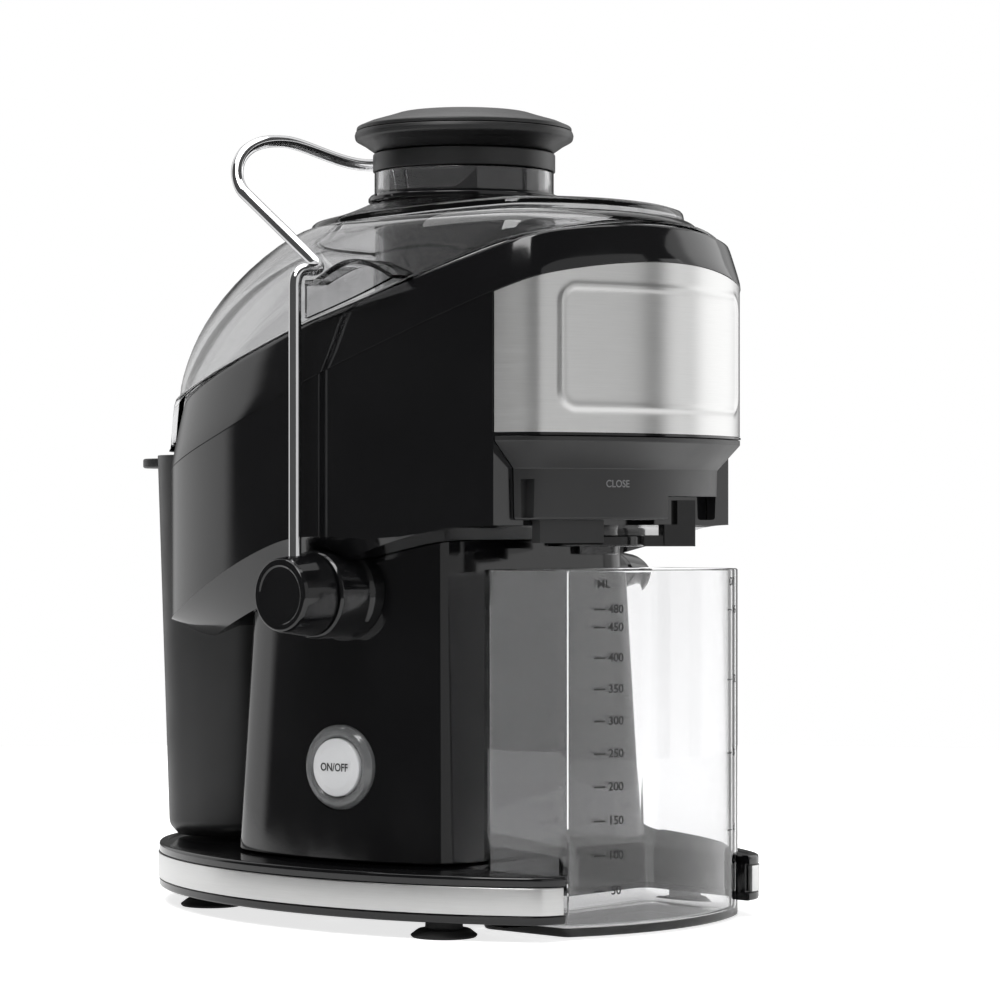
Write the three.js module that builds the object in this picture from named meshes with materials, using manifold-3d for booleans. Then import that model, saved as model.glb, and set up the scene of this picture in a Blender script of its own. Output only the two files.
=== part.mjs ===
// A compact centrifugal juicer, in millimetres, with +Z up and the front (spout and cup) at -Y.
// The motor, grater basket and feed chute share one vertical axis, the machine axis, at x = 0, y = 0.
// The whole group is then moved along Y, so that the origin is under the middle of the machine.
import * as THREE from "three";
import { mergeVertices } from "three/addons/utils/BufferGeometryUtils.js";
import Module from "manifold-3d";

const wasm = await Module();
wasm.setup();

// ---------------------------------------------------------------- driving dimensions
const GAP = 0.3; // clearance between pieces that touch
const OUTLINE_POINTS = 48; // points round an oval shell
const ROUND = 28; // segments round a turned piece

// Ovals: an ellipse, trimmed at the front by a parabola and at the rear by a flat.
// The higher the corner power, the more sharply the ellipse meets them.
const SHARP = 48;
const SOFT = 16;
const CENTRE_Y = 5;
const BOWL_OVAL = {
  halfWidth: 84, halfLength: 141, centreY: CENTRE_Y, front: -108, bow: 0.0043, rear: 112, corner: SHARP,
};
const LID_OVAL = {
  halfWidth: 79, halfLength: 143, centreY: CENTRE_Y, front: -104, bow: 0.0058, rear: 150, corner: SHARP,
};
const BASE_OVAL = {
  halfWidth: 95, halfLength: 138, centreY: CENTRE_Y, front: -101, bow: 0, rear: 160, corner: SHARP,
};
const MOTOR_OVAL = {
  halfWidth: 72, halfLength: 97, centreY: 15, front: -46, bow: 0, rear: 68.5, corner: SOFT,
};

// Base
const LIP_Z = 6.5; // underside of the base
const BAND_Z = [10, 20]; // stainless band
const BAND_DEPTH = 1.6;
const DECK_Z = 24;
const DECK_THICKNESS = 3;
const BASE_WALL = 4;
const HOLLOW_INSET = 6; // the hollow under the deck, from the base outline
const SCREW_SPOTS = [[-38, 40], [38, 40], [-62, 10], [62, 10]];
const SCREW = { headRadius: 3.6, headHeight: 1.8, shankRadius: 1.3, length: 12, bossRadius: 4 };
const FOOT_SPOTS = [[-70, -56], [70, -56], [-57, 84], [57, 84]];
const FOOT = { discRadius: 12.5, discHeight: 3, neckRadius: 7 };
const RECESS = { halfWidth: 53, rearY: -48, radius: 8 };

// Motor housing
const MOTOR_TOP_Z = 160;
const MOTOR_TAPER = 7.5; // how far the wall leans in, from the deck to MOTOR_TOP_Z
const MOTOR_WALL = 3;
const BUTTON = { y: -0.5, z: 59.5, radius: 11, bezel: 16, proud: 3, travel: 3, depth: 5 };
const GLAND = { z: 36, radius: 6, bore: 2.6, reach: 3.5 };
const SHAFT_RADIUS = 4;
const SHAFT_CLEAR = SHAFT_RADIUS + GAP;
const BEARING = { radius: 11, height: 8, lowerZ: 27, upperZ: 114 };
const STATOR = { inner: 25, outer: 38, bottomZ: 48, topZ: 90, windingTopZ: 98 };
const ROTOR = { radius: 24, bottomZ: 50, topZ: 88 };
const COMMUTATOR = { radius: 11, bottomZ: 38, topZ: 46 };
const FAN = { blades: 10, radius: 32, discZ: 100.5, discHeight: 2, bladeHeight: 7, bladeWidth: 1.6 };

// Bowl housing, lid frame and lid: heights as a function of y
const SEAM_CURVE = new THREE.SplineCurve(
  points2([[-130, 258], [-87, 239.6], [-40, 220.6], [0, 206.1], [58, 186], [130, 168]]),
);
const BAND_CURVE = new THREE.SplineCurve(
  points2([[-130, 272.5], [-87, 257.4], [-30, 237.9], [10, 226.6], [58, 212.9], [130, 195]]),
);
const BAND_LEAN = [[0, 0], [0.9, 0.25], [3.1, 0.68], [4.8, 0.97]]; // inset, share of the band's height
const FLOOR_FRONT_Z = 151.5;
const FLOOR_AXIS_Z = 135; // height of the sloping underside at y = 0
const FLOOR_SLOPE = 0.27;
const FLOOR_BLEND = 1.5; // rounds the bend between the level floor and the slope
const CHAMFER = { height: 14, rearHeight: 7, inset: 16, startY: -50, fullY: 20, rearY: 110 };
const BOWL_WALL = 2.6;
const SHAFT_HOLE_RADIUS = 19; // hole in the bowl housing's floor for the shaft and its seal
const PANEL = { rearY: -78.5, bottomZ: 185, thickness: 1 };
const NOSE = { rearY: -78.5, coneTopZ: 184, coneBottomZ: 172, bottomZ: 153, inset: 9.5 };
const LID_WALL = 2.4;
const LID_TOP = { radius: 36.2, z: 277 };
const LID_REAR_Z = 181;
const RIM_HEIGHT = 1; // upright rim at the lid's foot
// The raised middle of the lid, which sinks into the dome towards the rear: [front, rear] heights
const ROOF = { radius: 60, frontInset: 17, frontY: -87, rearY: 50, footZ: [269, 266], edgeZ: [273.4, 268] };
const LEDGE = { inner: 66, outer: 83, front: -42, archRear: -1, rear: 4, restZ: 243.2, crownZ: 250, wall: 2 };

// Feed chute and pusher
const CHUTE = { inner: 33, outer: 35.2, bottomZ: 206, topZ: 289 };
const COLLAR = { inner: 32.4, outer: 35.8, topZ: 296.4 };
const CHUTE_RING_RADIUS = 37.6;
const PUSHER = { radius: 31.8, wall: 2.4, bottomZ: 210, seamZ: 305, topZ: 312.9, capRadius: 43 };

// Bail
const PIVOT = { y: 0, z: 125 };
const WIRE_RADIUS = 2.4;
const BAIL = { legX: 92, hookX: 77, hookZ: 247, bend: 7, topX: 72, topY: 57, topZ: 302.4, dipZ: 296.5 };
const KNOB = { outer: 100, inner: 84, tipRadius: 14, rimRadius: 15.8, pinRadius: 5 };
const BOSS = { inner: 56, radius: 17.8, neckRadius: 16.6 };

// Cup, pulp container and spout
const CUP = {
  halfWidth: 49.5, rearY: -53, cornerY: -98, frontY: -110, radius: 7, bottomZ: 1, topZ: 134.5,
  wall: 2, floor: 3,
};
const PULP = {
  centreY: 111, halfWidth: 48.6, halfDepth: 34.5, power: 2.6, bottomZ: 24.6, topZ: 179.5, wall: 2.2,
};
const PULP_ROOM = 1.4; // clearance round the pulp container
const SPOUT = { y: -68, discRadius: 19, topZ: 147.2, bottomZ: 143, tabTopZ: 160.5, leverTurn: 38 };
const LEVER = {
  length: 36, halfWidth: 4.5, footStart: 26, footTopZ: 151.3, tabStart: 31, tabEnd: 38, tabHalfWidth: 5.5,
};
const NOZZLE = { radius: 9, bore: 6, bottomZ: 140 };
const WINDOW_X = [8, 54];
const SKIRT = { inset: 15, x: [-47, -21], bottomZ: 144.5 }; // plate under the collar, beside the spout
const COLLAR_SLOT = { x: [-80, -52.5], y: [-86.5, -81], z: [153.8, 168] };
// Juicing parts, as [radius, z] outlines
const JUICE_BOWL = [[17.5, 156], [60, 156], [63, 159], [65, 184], [63, 184], [61, 160.5], [59, 158.4],
  [19.5, 158.4], [19.5, 164], [17.5, 164]];
const JUICE_OUTLET = [-6, 6, -70, -55, 158.4, 166]; // notch in the juice bowl's wall, over the spout
const COUPLING = [[SHAFT_CLEAR, 152], [13, 152], [15, 158], [15, 164.5], [SHAFT_CLEAR, 164.5]];
const HUB = [[SHAFT_CLEAR, 165], [22, 165], [22, 168], [12, 171], [SHAFT_CLEAR, 171]];
const GRATER = [[12.4, 171.4], [22.4, 168.4], [46, 168.4], [46, 169.6], [22.6, 169.6], [12.4, 172.6]];
const BASKET = [[46.4, 168.4], [47.4, 168.4], [55.4, 199], [54.2, 199], [46.4, 169.6]];
const BASKET_RIM = [[53.4, 199.3], [57, 199.3], [57, 203], [53.4, 203]];
const NUT = [[0, 173], [8, 173], [8, 178], [5, 181], [0, 181.5]];
const SEAL = [[4.4, 128], [12, 128], [12, 131], [18.5, 149], [18.5, 151], [16.5, 151], [10, 133], [4.4, 133]];

const MIDDLE_Y = 26.75; // y of the middle of the whole machine, from cup front to container lip

// ---------------------------------------------------------------- materials
const finish = (color, roughness, metalness = 0, opacity = 1) => new THREE.MeshStandardMaterial({
  color, roughness, metalness, opacity, transparent: opacity < 1,
});
const glossBlack = () => finish(0x0b0b0c, 0.15);
const satinBlack = () => finish(0x1a1a1b, 0.5);
const steel = () => finish(0xb9babc, 0.35, 1);
const chrome = () => finish(0xdcdde0, 0.1, 1);
const rubber = () => finish(0x161616, 0.85);
const smoke = () => finish(0x6d6f72, 0.08, 0, 0.4);
const clear = () => finish(0xd5d8da, 0.05, 0, 0.3);
const silver = () => finish(0xd2d3d5, 0.35);
const copper = () => finish(0x9c5a2e, 0.45, 1);

// ---------------------------------------------------------------- geometry helpers
function points2(pairs) {
  return pairs.map(([x, y]) => new THREE.Vector2(x, y));
}

/** Height on a curve of [y, z] points, found by bisection along the curve. */
function heightAt(curve, y) {
  let low = 0;
  let high = 1;
  for (let step = 0; step < 24; step += 1) {
    const middle = (low + high) / 2;
    if (curve.getPoint(middle).x < y) low = middle;
    else high = middle;
  }
  return curve.getPoint(low).y;
}

/** The point a share t of the way from a to b. */
function mix(a, b, t) {
  return a.map((value, i) => value + (b[i] - value) * t);
}

function smoothstep(value) {
  const t = Math.min(1, Math.max(0, value));
  return t * t * (3 - 2 * t);
}

/** Points [x, y] round an oval, from the front, by way of +X, moved inwards by inset. */
function oval(shape, inset = 0) {
  const halfWidth = shape.halfWidth - inset;
  const halfLength = shape.halfLength - inset;
  const toFront = shape.centreY - shape.front - inset;
  const toRear = shape.rear - shape.centreY - inset;
  const outline = [];
  for (let k = 0; k < OUTLINE_POINTS; k += 1) {
    const angle = -Math.PI / 2 + (2 * Math.PI * k) / OUTLINE_POINTS;
    const c = Math.cos(angle);
    const s = Math.sin(angle);
    const ellipse = Math.hypot(c / halfWidth, s / halfLength);
    const nose = (Math.sqrt(s * s + 4 * shape.bow * c * c * toFront) - s) / (2 * toFront);
    const tail = Math.max(0, s) / toRear;
    const sum = ellipse ** shape.corner + nose ** shape.corner + tail ** shape.corner;
    const radius = sum ** (-1 / shape.corner);
    outline.push([radius * c, shape.centreY + radius * s]);
  }
  return outline;
}

/** Points [x, y] round a superellipse, from the front, by way of +X. */
function superellipse(centreY, halfWidth, halfDepth, power) {
  const outline = [];
  for (let k = 0; k < OUTLINE_POINTS; k += 1) {
    const angle = -Math.PI / 2 + (2 * Math.PI * k) / OUTLINE_POINTS;
    const c = Math.cos(angle);
    const s = Math.sin(angle);
    const x = Math.sign(c) * Math.abs(c) ** (2 / power) * halfWidth;
    const y = Math.sign(s) * Math.abs(s) ** (2 / power) * halfDepth;
    outline.push([x, centreY + y]);
  }
  return outline;
}

/** Lifts an outline to a ring; height is a number or a function of [x, y]. */
function ring(outline, height) {
  return outline.map(([x, y]) => [x, y, typeof height === "number" ? height : height(y, x)]);
}

function signedVolume(positions, indices) {
  let total = 0;
  for (let t = 0; t < indices.length; t += 3) {
    const [a, b, c] = [indices[t], indices[t + 1], indices[t + 2]].map((i) => positions[i]);
    total += a[0] * (b[1] * c[2] - b[2] * c[1]);
    total += a[1] * (b[2] * c[0] - b[0] * c[2]);
    total += a[2] * (b[0] * c[1] - b[1] * c[0]);
  }
  return total / 6;
}

/** Skins a list of rings. A looped skin joins the last ring to the first, a plain one gets end caps. */
function skin(rings, looped = false) {
  const count = rings[0].length;
  const positions = rings.flat();
  const indices = [];
  const bands = looped ? rings.length : rings.length - 1;
  for (let r = 0; r < bands; r += 1) {
    const lower = r * count;
    const upper = ((r + 1) % rings.length) * count;
    for (let k = 0; k < count; k += 1) {
      const next = (k + 1) % count;
      indices.push(lower + k, lower + next, upper + next, lower + k, upper + next, upper + k);
    }
  }
  if (!looped) {
    const last = (rings.length - 1) * count;
    for (let k = 0; k < count / 2; k += 1) {
      const mirror = (count - k) % count;
      const mirrorNext = count - k - 1;
      if (k > 0) {
        indices.push(k + 1, k, mirror);
        indices.push(last + k, last + k + 1, last + mirror);
      }
      if (mirrorNext !== k + 1) {
        indices.push(k + 1, mirror, mirrorNext);
        indices.push(last + mirror, last + k + 1, last + mirrorNext);
      }
    }
  }
  if (signedVolume(positions, indices) < 0) indices.reverse();
  const geometry = new THREE.BufferGeometry();
  geometry.setAttribute("position", new THREE.Float32BufferAttribute(positions.flat(), 3));
  geometry.setIndex(indices);
  return geometry;
}

function toSolid(geometry) {
  const bare = geometry.clone();
  bare.deleteAttribute("normal");
  bare.deleteAttribute("uv");
  const merged = mergeVertices(bare, 1e-4);
  return new wasm.Manifold(new wasm.Mesh({
    numProp: 3,
    vertProperties: new Float32Array(merged.attributes.position.array),
    triVerts: new Uint32Array(merged.index.array),
  }));
}

function fromSolid(solid) {
  const mesh = solid.getMesh();
  const geometry = new THREE.BufferGeometry();
  geometry.setAttribute("position", new THREE.Float32BufferAttribute(mesh.vertProperties, 3));
  geometry.setIndex(new THREE.Uint32BufferAttribute(mesh.triVerts, 1));
  geometry.computeVertexNormals();
  return geometry;
}

/** A solid turned about the machine axis from [radius, z] points; the profile closes on itself. */
function turned(profile, segments = ROUND) {
  const onAxis = profile[0][0] === 0 && profile[profile.length - 1][0] === 0;
  const closed = onAxis ? profile : [...profile, profile[0]];
  const geometry = new THREE.LatheGeometry(points2(closed), segments);
  geometry.rotateX(Math.PI / 2);
  const bare = geometry.clone();
  bare.deleteAttribute("normal");
  bare.deleteAttribute("uv");
  const merged = mergeVertices(bare, 1e-4);
  const array = merged.attributes.position.array;
  const positions = [];
  for (let i = 0; i < array.length; i += 3) positions.push([array[i], array[i + 1], array[i + 2]]);
  const used = [];
  const source = merged.index.array;
  for (let t = 0; t < source.length; t += 3) {
    const [a, b, c] = [source[t], source[t + 1], source[t + 2]];
    if (a !== b && b !== c && c !== a) used.push(a, b, c);
  }
  if (signedVolume(positions, used) < 0) used.reverse();
  merged.setIndex(used);
  return toSolid(merged);
}

const cylinder = (radius, z0, z1, segments = ROUND) => turned(
  [[0, z0], [radius, z0], [radius, z1], [0, z1]],
  segments,
);
const pipe = (inner, outer, z0, z1, segments = ROUND) => turned(
  [[inner, z0], [outer, z0], [outer, z1], [inner, z1]],
  segments,
);

function box(x0, x1, y0, y1, z0, z1) {
  const geometry = new THREE.BoxGeometry(x1 - x0, y1 - y0, z1 - z0);
  geometry.translate((x0 + x1) / 2, (y0 + y1) / 2, (z0 + z1) / 2);
  return toSolid(geometry);
}

/** A solid turned about an axis parallel to X, from [radius, x] points, on the side given by sign. */
function turnedAlongX(profile, sign, y, z) {
  return turned(profile).rotate([0, sign * 90, 0]).translate([0, y, z]);
}

/** A round rod along a curve, with flat ends. */
function rod(curve, radius, steps, sides) {
  const divisions = sides / 2; // a full arc is divided into twice this many sides
  const section = new THREE.Shape();
  section.absarc(0, 0, radius, 0, 2 * Math.PI);
  const geometry = new THREE.ExtrudeGeometry(section, {
    steps, curveSegments: divisions, extrudePath: curve, bevelEnabled: false,
  });
  return toSolid(geometry);
}

const group = new THREE.Group();

function add(name, solid, material) {
  const mesh = new THREE.Mesh(fromSolid(solid), material);
  mesh.name = name;
  group.add(mesh);
}

// ---------------------------------------------------------------- base
/** A prism of the base oval, moved inwards by inset. */
function basePrism(inset, z0, z1) {
  const outline = oval(BASE_OVAL, inset);
  return toSolid(skin([ring(outline, z0), ring(outline, z1)]));
}

/** The cup recess: a slot from the front edge with a flat rear face and rounded rear corners. */
function recess(margin, z0, z1) {
  const halfWidth = RECESS.halfWidth + margin;
  const rear = RECESS.rearY + margin;
  const front = BASE_OVAL.front - 20;
  const shape = new THREE.Shape();
  shape.moveTo(-halfWidth, front);
  shape.lineTo(halfWidth, front);
  shape.lineTo(halfWidth, rear - RECESS.radius);
  shape.absarc(halfWidth - RECESS.radius, rear - RECESS.radius, RECESS.radius, 0, Math.PI / 2);
  shape.lineTo(-halfWidth + RECESS.radius, rear);
  shape.absarc(-halfWidth + RECESS.radius, rear - RECESS.radius, RECESS.radius, Math.PI / 2, Math.PI);
  shape.closePath();
  const options = { depth: z1 - z0, curveSegments: 6, bevelEnabled: false };
  const geometry = new THREE.ExtrudeGeometry(shape, options);
  geometry.translate(0, 0, z0);
  return toSolid(geometry);
}

function addBase() {
  const [bandLow, bandHigh] = BAND_Z;
  const hollowTopZ = DECK_Z - DECK_THICKNESS;
  const groove = basePrism(-1, bandLow - GAP, bandHigh + GAP)
    .subtract(basePrism(BAND_DEPTH + GAP, bandLow - 1, bandHigh + 1));
  const prongRoom = recess(BASE_WALL, LIP_Z - 1, hollowTopZ);
  const hollow = basePrism(HOLLOW_INSET, LIP_Z - 1, hollowTopZ).subtract(prongRoom);
  const coverTopZ = LIP_Z + 3;
  let plate = basePrism(0, LIP_Z, DECK_Z)
    .subtract(groove)
    .subtract(hollow)
    .subtract(recess(0, 0, DECK_Z + 5));
  let cover = basePrism(HOLLOW_INSET + GAP, LIP_Z + 0.5, coverTopZ)
    .subtract(recess(BASE_WALL + GAP, 0, DECK_Z));
  for (const [x, y] of SCREW_SPOTS) {
    const hole = cylinder(SCREW.shankRadius + 1, 0, DECK_Z, 16);
    const boss = pipe(SCREW.shankRadius + GAP, SCREW.bossRadius, coverTopZ + 0.4, hollowTopZ + 1, 20);
    cover = cover.subtract(hole.translate([x, y, 0]));
    plate = plate.add(boss.translate([x, y, 0]));
  }
  const band = basePrism(-GAP, bandLow, bandHigh)
    .subtract(basePrism(BAND_DEPTH, bandLow - 1, bandHigh + 1))
    .subtract(recess(1.5, 0, DECK_Z));
  add("base_plate", plate, glossBlack());
  add("bottom_cover", cover, satinBlack());
  add("base_band", band, steel());
  SCREW_SPOTS.forEach(([x, y], index) => {
    add(`base_screw_${index + 1}`, screw().translate([x, y, LIP_Z + 0.5 - GAP]), steel());
  });
  FOOT_SPOTS.forEach(([x, y], index) => {
    add(`foot_${index + 1}`, foot().translate([x, y, 0]), rubber());
  });
}

/** A screw with its head's upper face at z = 0. */
function screw() {
  const { headRadius, headHeight, shankRadius, length } = SCREW;
  return turned([[0, -headHeight], [headRadius, -headHeight], [headRadius, 0], [shankRadius, 0],
    [shankRadius, length], [0, length]], 20);
}

/** A rubber foot: a broad disc that grips the worktop, on a neck under the base. */
function foot() {
  const { discRadius, discHeight, neckRadius } = FOOT;
  const neckTopZ = LIP_Z + 0.2;
  return turned([[0, 0], [discRadius - 0.8, 0], [discRadius, 0.8], [discRadius - 3, discHeight],
    [neckRadius, discHeight], [neckRadius, neckTopZ], [0, neckTopZ]]);
}

// ---------------------------------------------------------------- bowl housing
const seamZ = (y) => heightAt(SEAM_CURVE, y);
const bandZ = (y) => heightAt(BAND_CURVE, y);
const underZ = (y) => {
  const gap = FLOOR_FRONT_Z - (FLOOR_AXIS_Z - FLOOR_SLOPE * y);
  return FLOOR_FRONT_Z - (gap + Math.hypot(gap, 2 * FLOOR_BLEND)) / 2;
};
const chamferAt = (y) => smoothstep((y - CHAMFER.startY) / (CHAMFER.fullY - CHAMFER.startY));

/** Height of the sloping lower edge of the bowl housing, which narrows towards the rear. */
function chamferHeight(y) {
  const rear = smoothstep((y - CHAMFER.fullY) / (CHAMFER.rearY - CHAMFER.fullY));
  return chamferAt(y) * THREE.MathUtils.lerp(CHAMFER.height, CHAMFER.rearHeight, rear);
}

/** The outside of the bowl housing as one full solid, lowered by drop. */
function bowlBlock(drop = 0, inset = 0) {
  const outer = oval(BOWL_OVAL, inset);
  const inner = oval(BOWL_OVAL, inset + CHAMFER.inset);
  const foot = outer.map((point, k) => mix(point, inner[k], chamferAt(point[1])));
  const footHeights = outer.map(([, y]) => underZ(y) - drop);
  const lower = foot.map(([x, y], k) => [x, y, footHeights[k]]);
  const edge = ring(outer, (y) => underZ(y) + 0.6 + chamferHeight(y) - drop);
  const upper = ring(outer, (y) => seamZ(y) - drop);
  return toSolid(skin([lower, edge, upper]));
}

/** The cavity of the bowl housing: open above, with a floor that follows the underside. */
function bowlCavity() {
  const inner = oval(BOWL_OVAL, BOWL_WALL);
  const foot = oval(BOWL_OVAL, BOWL_WALL + CHAMFER.inset);
  const floorHeights = inner.map(([, y]) => underZ(y) + BOWL_WALL + 1);
  const lower = foot.map(([x, y], k) => [x, y, floorHeights[k]]);
  const edge = ring(inner, (y) => underZ(y) + BOWL_WALL + 3 + chamferHeight(y));
  const upper = ring(inner, (y) => seamZ(y) + 5);
  return toSolid(skin([lower, edge, upper]));
}

/** A sheet that follows the bowl oval, from inset outer to inset inner, over the panel's area. */
function panelSheet(outer, inner, margin) {
  const shell = (inset) => {
    const outline = oval(BOWL_OVAL, inset);
    return toSolid(skin([ring(outline, 150), ring(outline, 300)]));
  };
  const below = toSolid(skin([
    ring(oval(BOWL_OVAL, -20), PANEL.bottomZ - margin),
    ring(oval(BOWL_OVAL, -20), (y) => seamZ(y) + margin),
  ]));
  return shell(outer)
    .subtract(shell(inner))
    .intersect(below)
    .intersect(box(-100, 100, -150, PANEL.rearY + margin, 100, 300));
}

function pulpPocket(margin) {
  return box(
    -PULP.halfWidth - margin,
    PULP.halfWidth + margin,
    PULP.centreY - PULP.halfDepth - margin,
    200,
    20,
    300,
  );
}

function addBowlHousing() {
  const noseRoom = box(-100, 100, -150, NOSE.rearY, 100, NOSE.coneTopZ);
  const bulkhead = box(-100, 100, -150, NOSE.rearY + BOWL_WALL, 100, NOSE.coneTopZ + BOWL_WALL);
  const housing = bowlBlock()
    .subtract(bowlCavity().subtract(bulkhead))
    .subtract(panelSheet(-5, PANEL.thickness + GAP, GAP))
    .subtract(noseRoom)
    .subtract(spoutWindow())
    .subtract(pulpPocket(PULP_ROOM))
    .subtract(cylinder(SHAFT_HOLE_RADIUS, 100, 170))
    .subtract(cylinder(NOZZLE.bore, 140, JUICE_BOWL[0][1], 20).translate([0, SPOUT.y, 0]));
  add("bowl_housing", housing, glossBlack());
  add("front_panel", panelSheet(0, PANEL.thickness, 0), steel());
}

// ---------------------------------------------------------------- spout
/** The window in the collar that the spout's lever moves in. */
function spoutWindow() {
  return box(...WINDOW_X, -150, NOSE.rearY, 140, SPOUT.tabTopZ + 1.5);
}

function addSpout() {
  const cone = toSolid(skin([
    ring(oval(BOWL_OVAL, NOSE.inset + 0.5), NOSE.bottomZ),
    ring(oval(BOWL_OVAL, NOSE.inset), NOSE.coneBottomZ),
    ring(oval(BOWL_OVAL, GAP), NOSE.coneTopZ - GAP),
  ]));
  const skirtOutline = oval(BOWL_OVAL, SKIRT.inset);
  const skirt = toSolid(skin([ring(skirtOutline, SKIRT.bottomZ), ring(skirtOutline, NOSE.bottomZ + 1)]))
    .intersect(box(...SKIRT.x, -150, 0, 100, 200));
  const nose = cone
    .add(skirt)
    .intersect(box(-100, 100, -150, NOSE.rearY - GAP, 100, 300))
    .subtract(spoutWindow())
    .subtract(box(...COLLAR_SLOT.x, ...COLLAR_SLOT.y, ...COLLAR_SLOT.z));
  add("spout_collar", nose, satinBlack());
  const { length, halfWidth, footStart, footTopZ, tabStart, tabEnd, tabHalfWidth } = LEVER;
  const arm = box(0, length, -halfWidth, halfWidth, SPOUT.bottomZ, SPOUT.topZ);
  const tab = box(tabStart, tabEnd, -tabHalfWidth, tabHalfWidth, SPOUT.bottomZ, SPOUT.tabTopZ);
  const foot = box(footStart, tabEnd, -tabHalfWidth, tabHalfWidth, SPOUT.bottomZ, footTopZ);
  const lever = arm.add(foot).add(tab).rotate([0, 0, -SPOUT.leverTurn]);
  const spout = cylinder(SPOUT.discRadius, SPOUT.bottomZ, SPOUT.topZ)
    .add(lever)
    .add(cylinder(NOZZLE.radius, NOZZLE.bottomZ, SPOUT.topZ))
    .subtract(cylinder(NOZZLE.bore, 130, 160));
  add("flow_spout", spout.translate([0, SPOUT.y, 0]), glossBlack());
}

// ---------------------------------------------------------------- motor housing
/** The tapered motor housing wall as a full solid, moved inwards by inset. */
function motorBlock(inset, z0, z1) {
  const at = (z) => inset + (MOTOR_TAPER * (z - DECK_Z)) / (MOTOR_TOP_Z - DECK_Z);
  return toSolid(skin([ring(oval(MOTOR_OVAL, at(z0)), z0), ring(oval(MOTOR_OVAL, at(z1)), z1)]));
}

/** Where the button sits: a point on the wall and the turn of its outward normal from -X. */
function buttonSpot() {
  const lean = (MOTOR_TAPER * (BUTTON.z - DECK_Z)) / (MOTOR_TOP_Z - DECK_Z);
  const a = MOTOR_OVAL.halfWidth - lean;
  const b = MOTOR_OVAL.halfLength - lean;
  const offset = BUTTON.y - MOTOR_OVAL.centreY;
  const x = -a * Math.sqrt(1 - (offset / b) ** 2);
  const turn = Math.atan2(offset / (b * b), x / (a * a)) + Math.PI;
  return { x, turn };
}

/** Places a solid built about +Z (with +Z pointing out of the wall) at the button. */
function atButton(solid) {
  const { x, turn } = buttonSpot();
  const facing = solid.rotate([0, -90, 0]).rotate([0, 0, THREE.MathUtils.radToDeg(turn)]);
  return facing.translate([x, BUTTON.y, BUTTON.z]);
}

function addMotorHousing() {
  let housing = motorBlock(0, DECK_Z + GAP, MOTOR_TOP_Z)
    .subtract(motorBlock(MOTOR_WALL, DECK_Z - 1, MOTOR_TOP_Z + 1))
    .subtract(bowlBlock(GAP, -GAP))
    .subtract(box(-100, 100, -100, 100, FLOOR_FRONT_Z - GAP, 200))
    .subtract(pulpPocket(PULP_ROOM))
    .subtract(atButton(cylinder(BUTTON.bezel + GAP, -15, 15)));
  for (const sign of [-1, 1]) {
    const radius = KNOB.pinRadius + 1;
    const hole = turnedAlongX([[0, 30], [radius, 30], [radius, 90], [0, 90]], sign, PIVOT.y, PIVOT.z);
    housing = housing.subtract(hole);
  }
  const glandHole = cylinder(GLAND.radius + GAP, -10, 10).rotate([90, 0, 0]);
  housing = housing.subtract(glandHole.translate([0, MOTOR_OVAL.rear, GLAND.z]));
  add("motor_housing", housing, glossBlack());
  const sleeve = turned([[GLAND.bore, -4], [GLAND.radius, -4], [GLAND.radius, 1],
    [GLAND.radius - 1.6, GLAND.reach], [GLAND.bore, GLAND.reach]], 24).rotate([-90, 0, 0]);
  add("cord_gland", sleeve.translate([0, MOTOR_OVAL.rear - 1, GLAND.z]), rubber());
}

function addButton() {
  const { radius, bezel, proud, travel, depth } = BUTTON;
  add("button_bezel", atButton(turned([[radius + GAP, -depth], [bezel, -depth], [bezel, 0.8],
    [bezel - 1.2, 2], [radius + 1.6, 2], [radius + GAP, 1]])), smoke());
  add("power_button", atButton(turned([[0, -depth], [radius, -depth], [radius, proud - 0.8],
    [radius - 0.8, proud], [0, proud + 0.3]])), silver());
  add("power_switch", atButton(box(-8, 8, -10, 10, -22, -depth - travel - 0.7)), satinBlack());
}

// ---------------------------------------------------------------- motor
function addMotor() {
  const { radius, height, lowerZ, upperZ } = BEARING;
  add("motor_stator", pipe(STATOR.inner, STATOR.outer, STATOR.bottomZ, STATOR.topZ), steel());
  const winding = pipe(STATOR.inner + 2, STATOR.outer - 3, STATOR.topZ + GAP, STATOR.windingTopZ);
  add("field_winding", winding, copper());
  add("motor_rotor", pipe(SHAFT_CLEAR, ROTOR.radius, ROTOR.bottomZ, ROTOR.topZ), steel());
  add("commutator", pipe(SHAFT_CLEAR, COMMUTATOR.radius, COMMUTATOR.bottomZ, COMMUTATOR.topZ), copper());
  for (const [name, turn] of [["brush_left", 180], ["brush_right", 0]]) {
    const brush = box(COMMUTATOR.radius + 0.5, 22, -3, 3, COMMUTATOR.bottomZ + 1, COMMUTATOR.topZ - 1);
    add(name, brush.rotate([0, 0, turn]), satinBlack());
  }
  add("cooling_fan", fan(), satinBlack());
  add("motor_shaft", cylinder(SHAFT_RADIUS, lowerZ - 0.5, 160, 24), steel());
  add("lower_bearing", pipe(SHAFT_CLEAR, radius, lowerZ, lowerZ + height), chrome());
  add("upper_bearing", pipe(SHAFT_CLEAR, radius, upperZ, upperZ + height), chrome());
  add("bearing_bracket_lower", pipe(radius + GAP, 20, DECK_Z + GAP, lowerZ + height), satinBlack());
  const bridge = box(-56, 56, -16, 16, upperZ - 2, upperZ + height + 1);
  add("bearing_bracket_upper", bridge.subtract(cylinder(radius + GAP, 100, 130)), satinBlack());
  add("shaft_seal", turned(SEAL), rubber());
}

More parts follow.
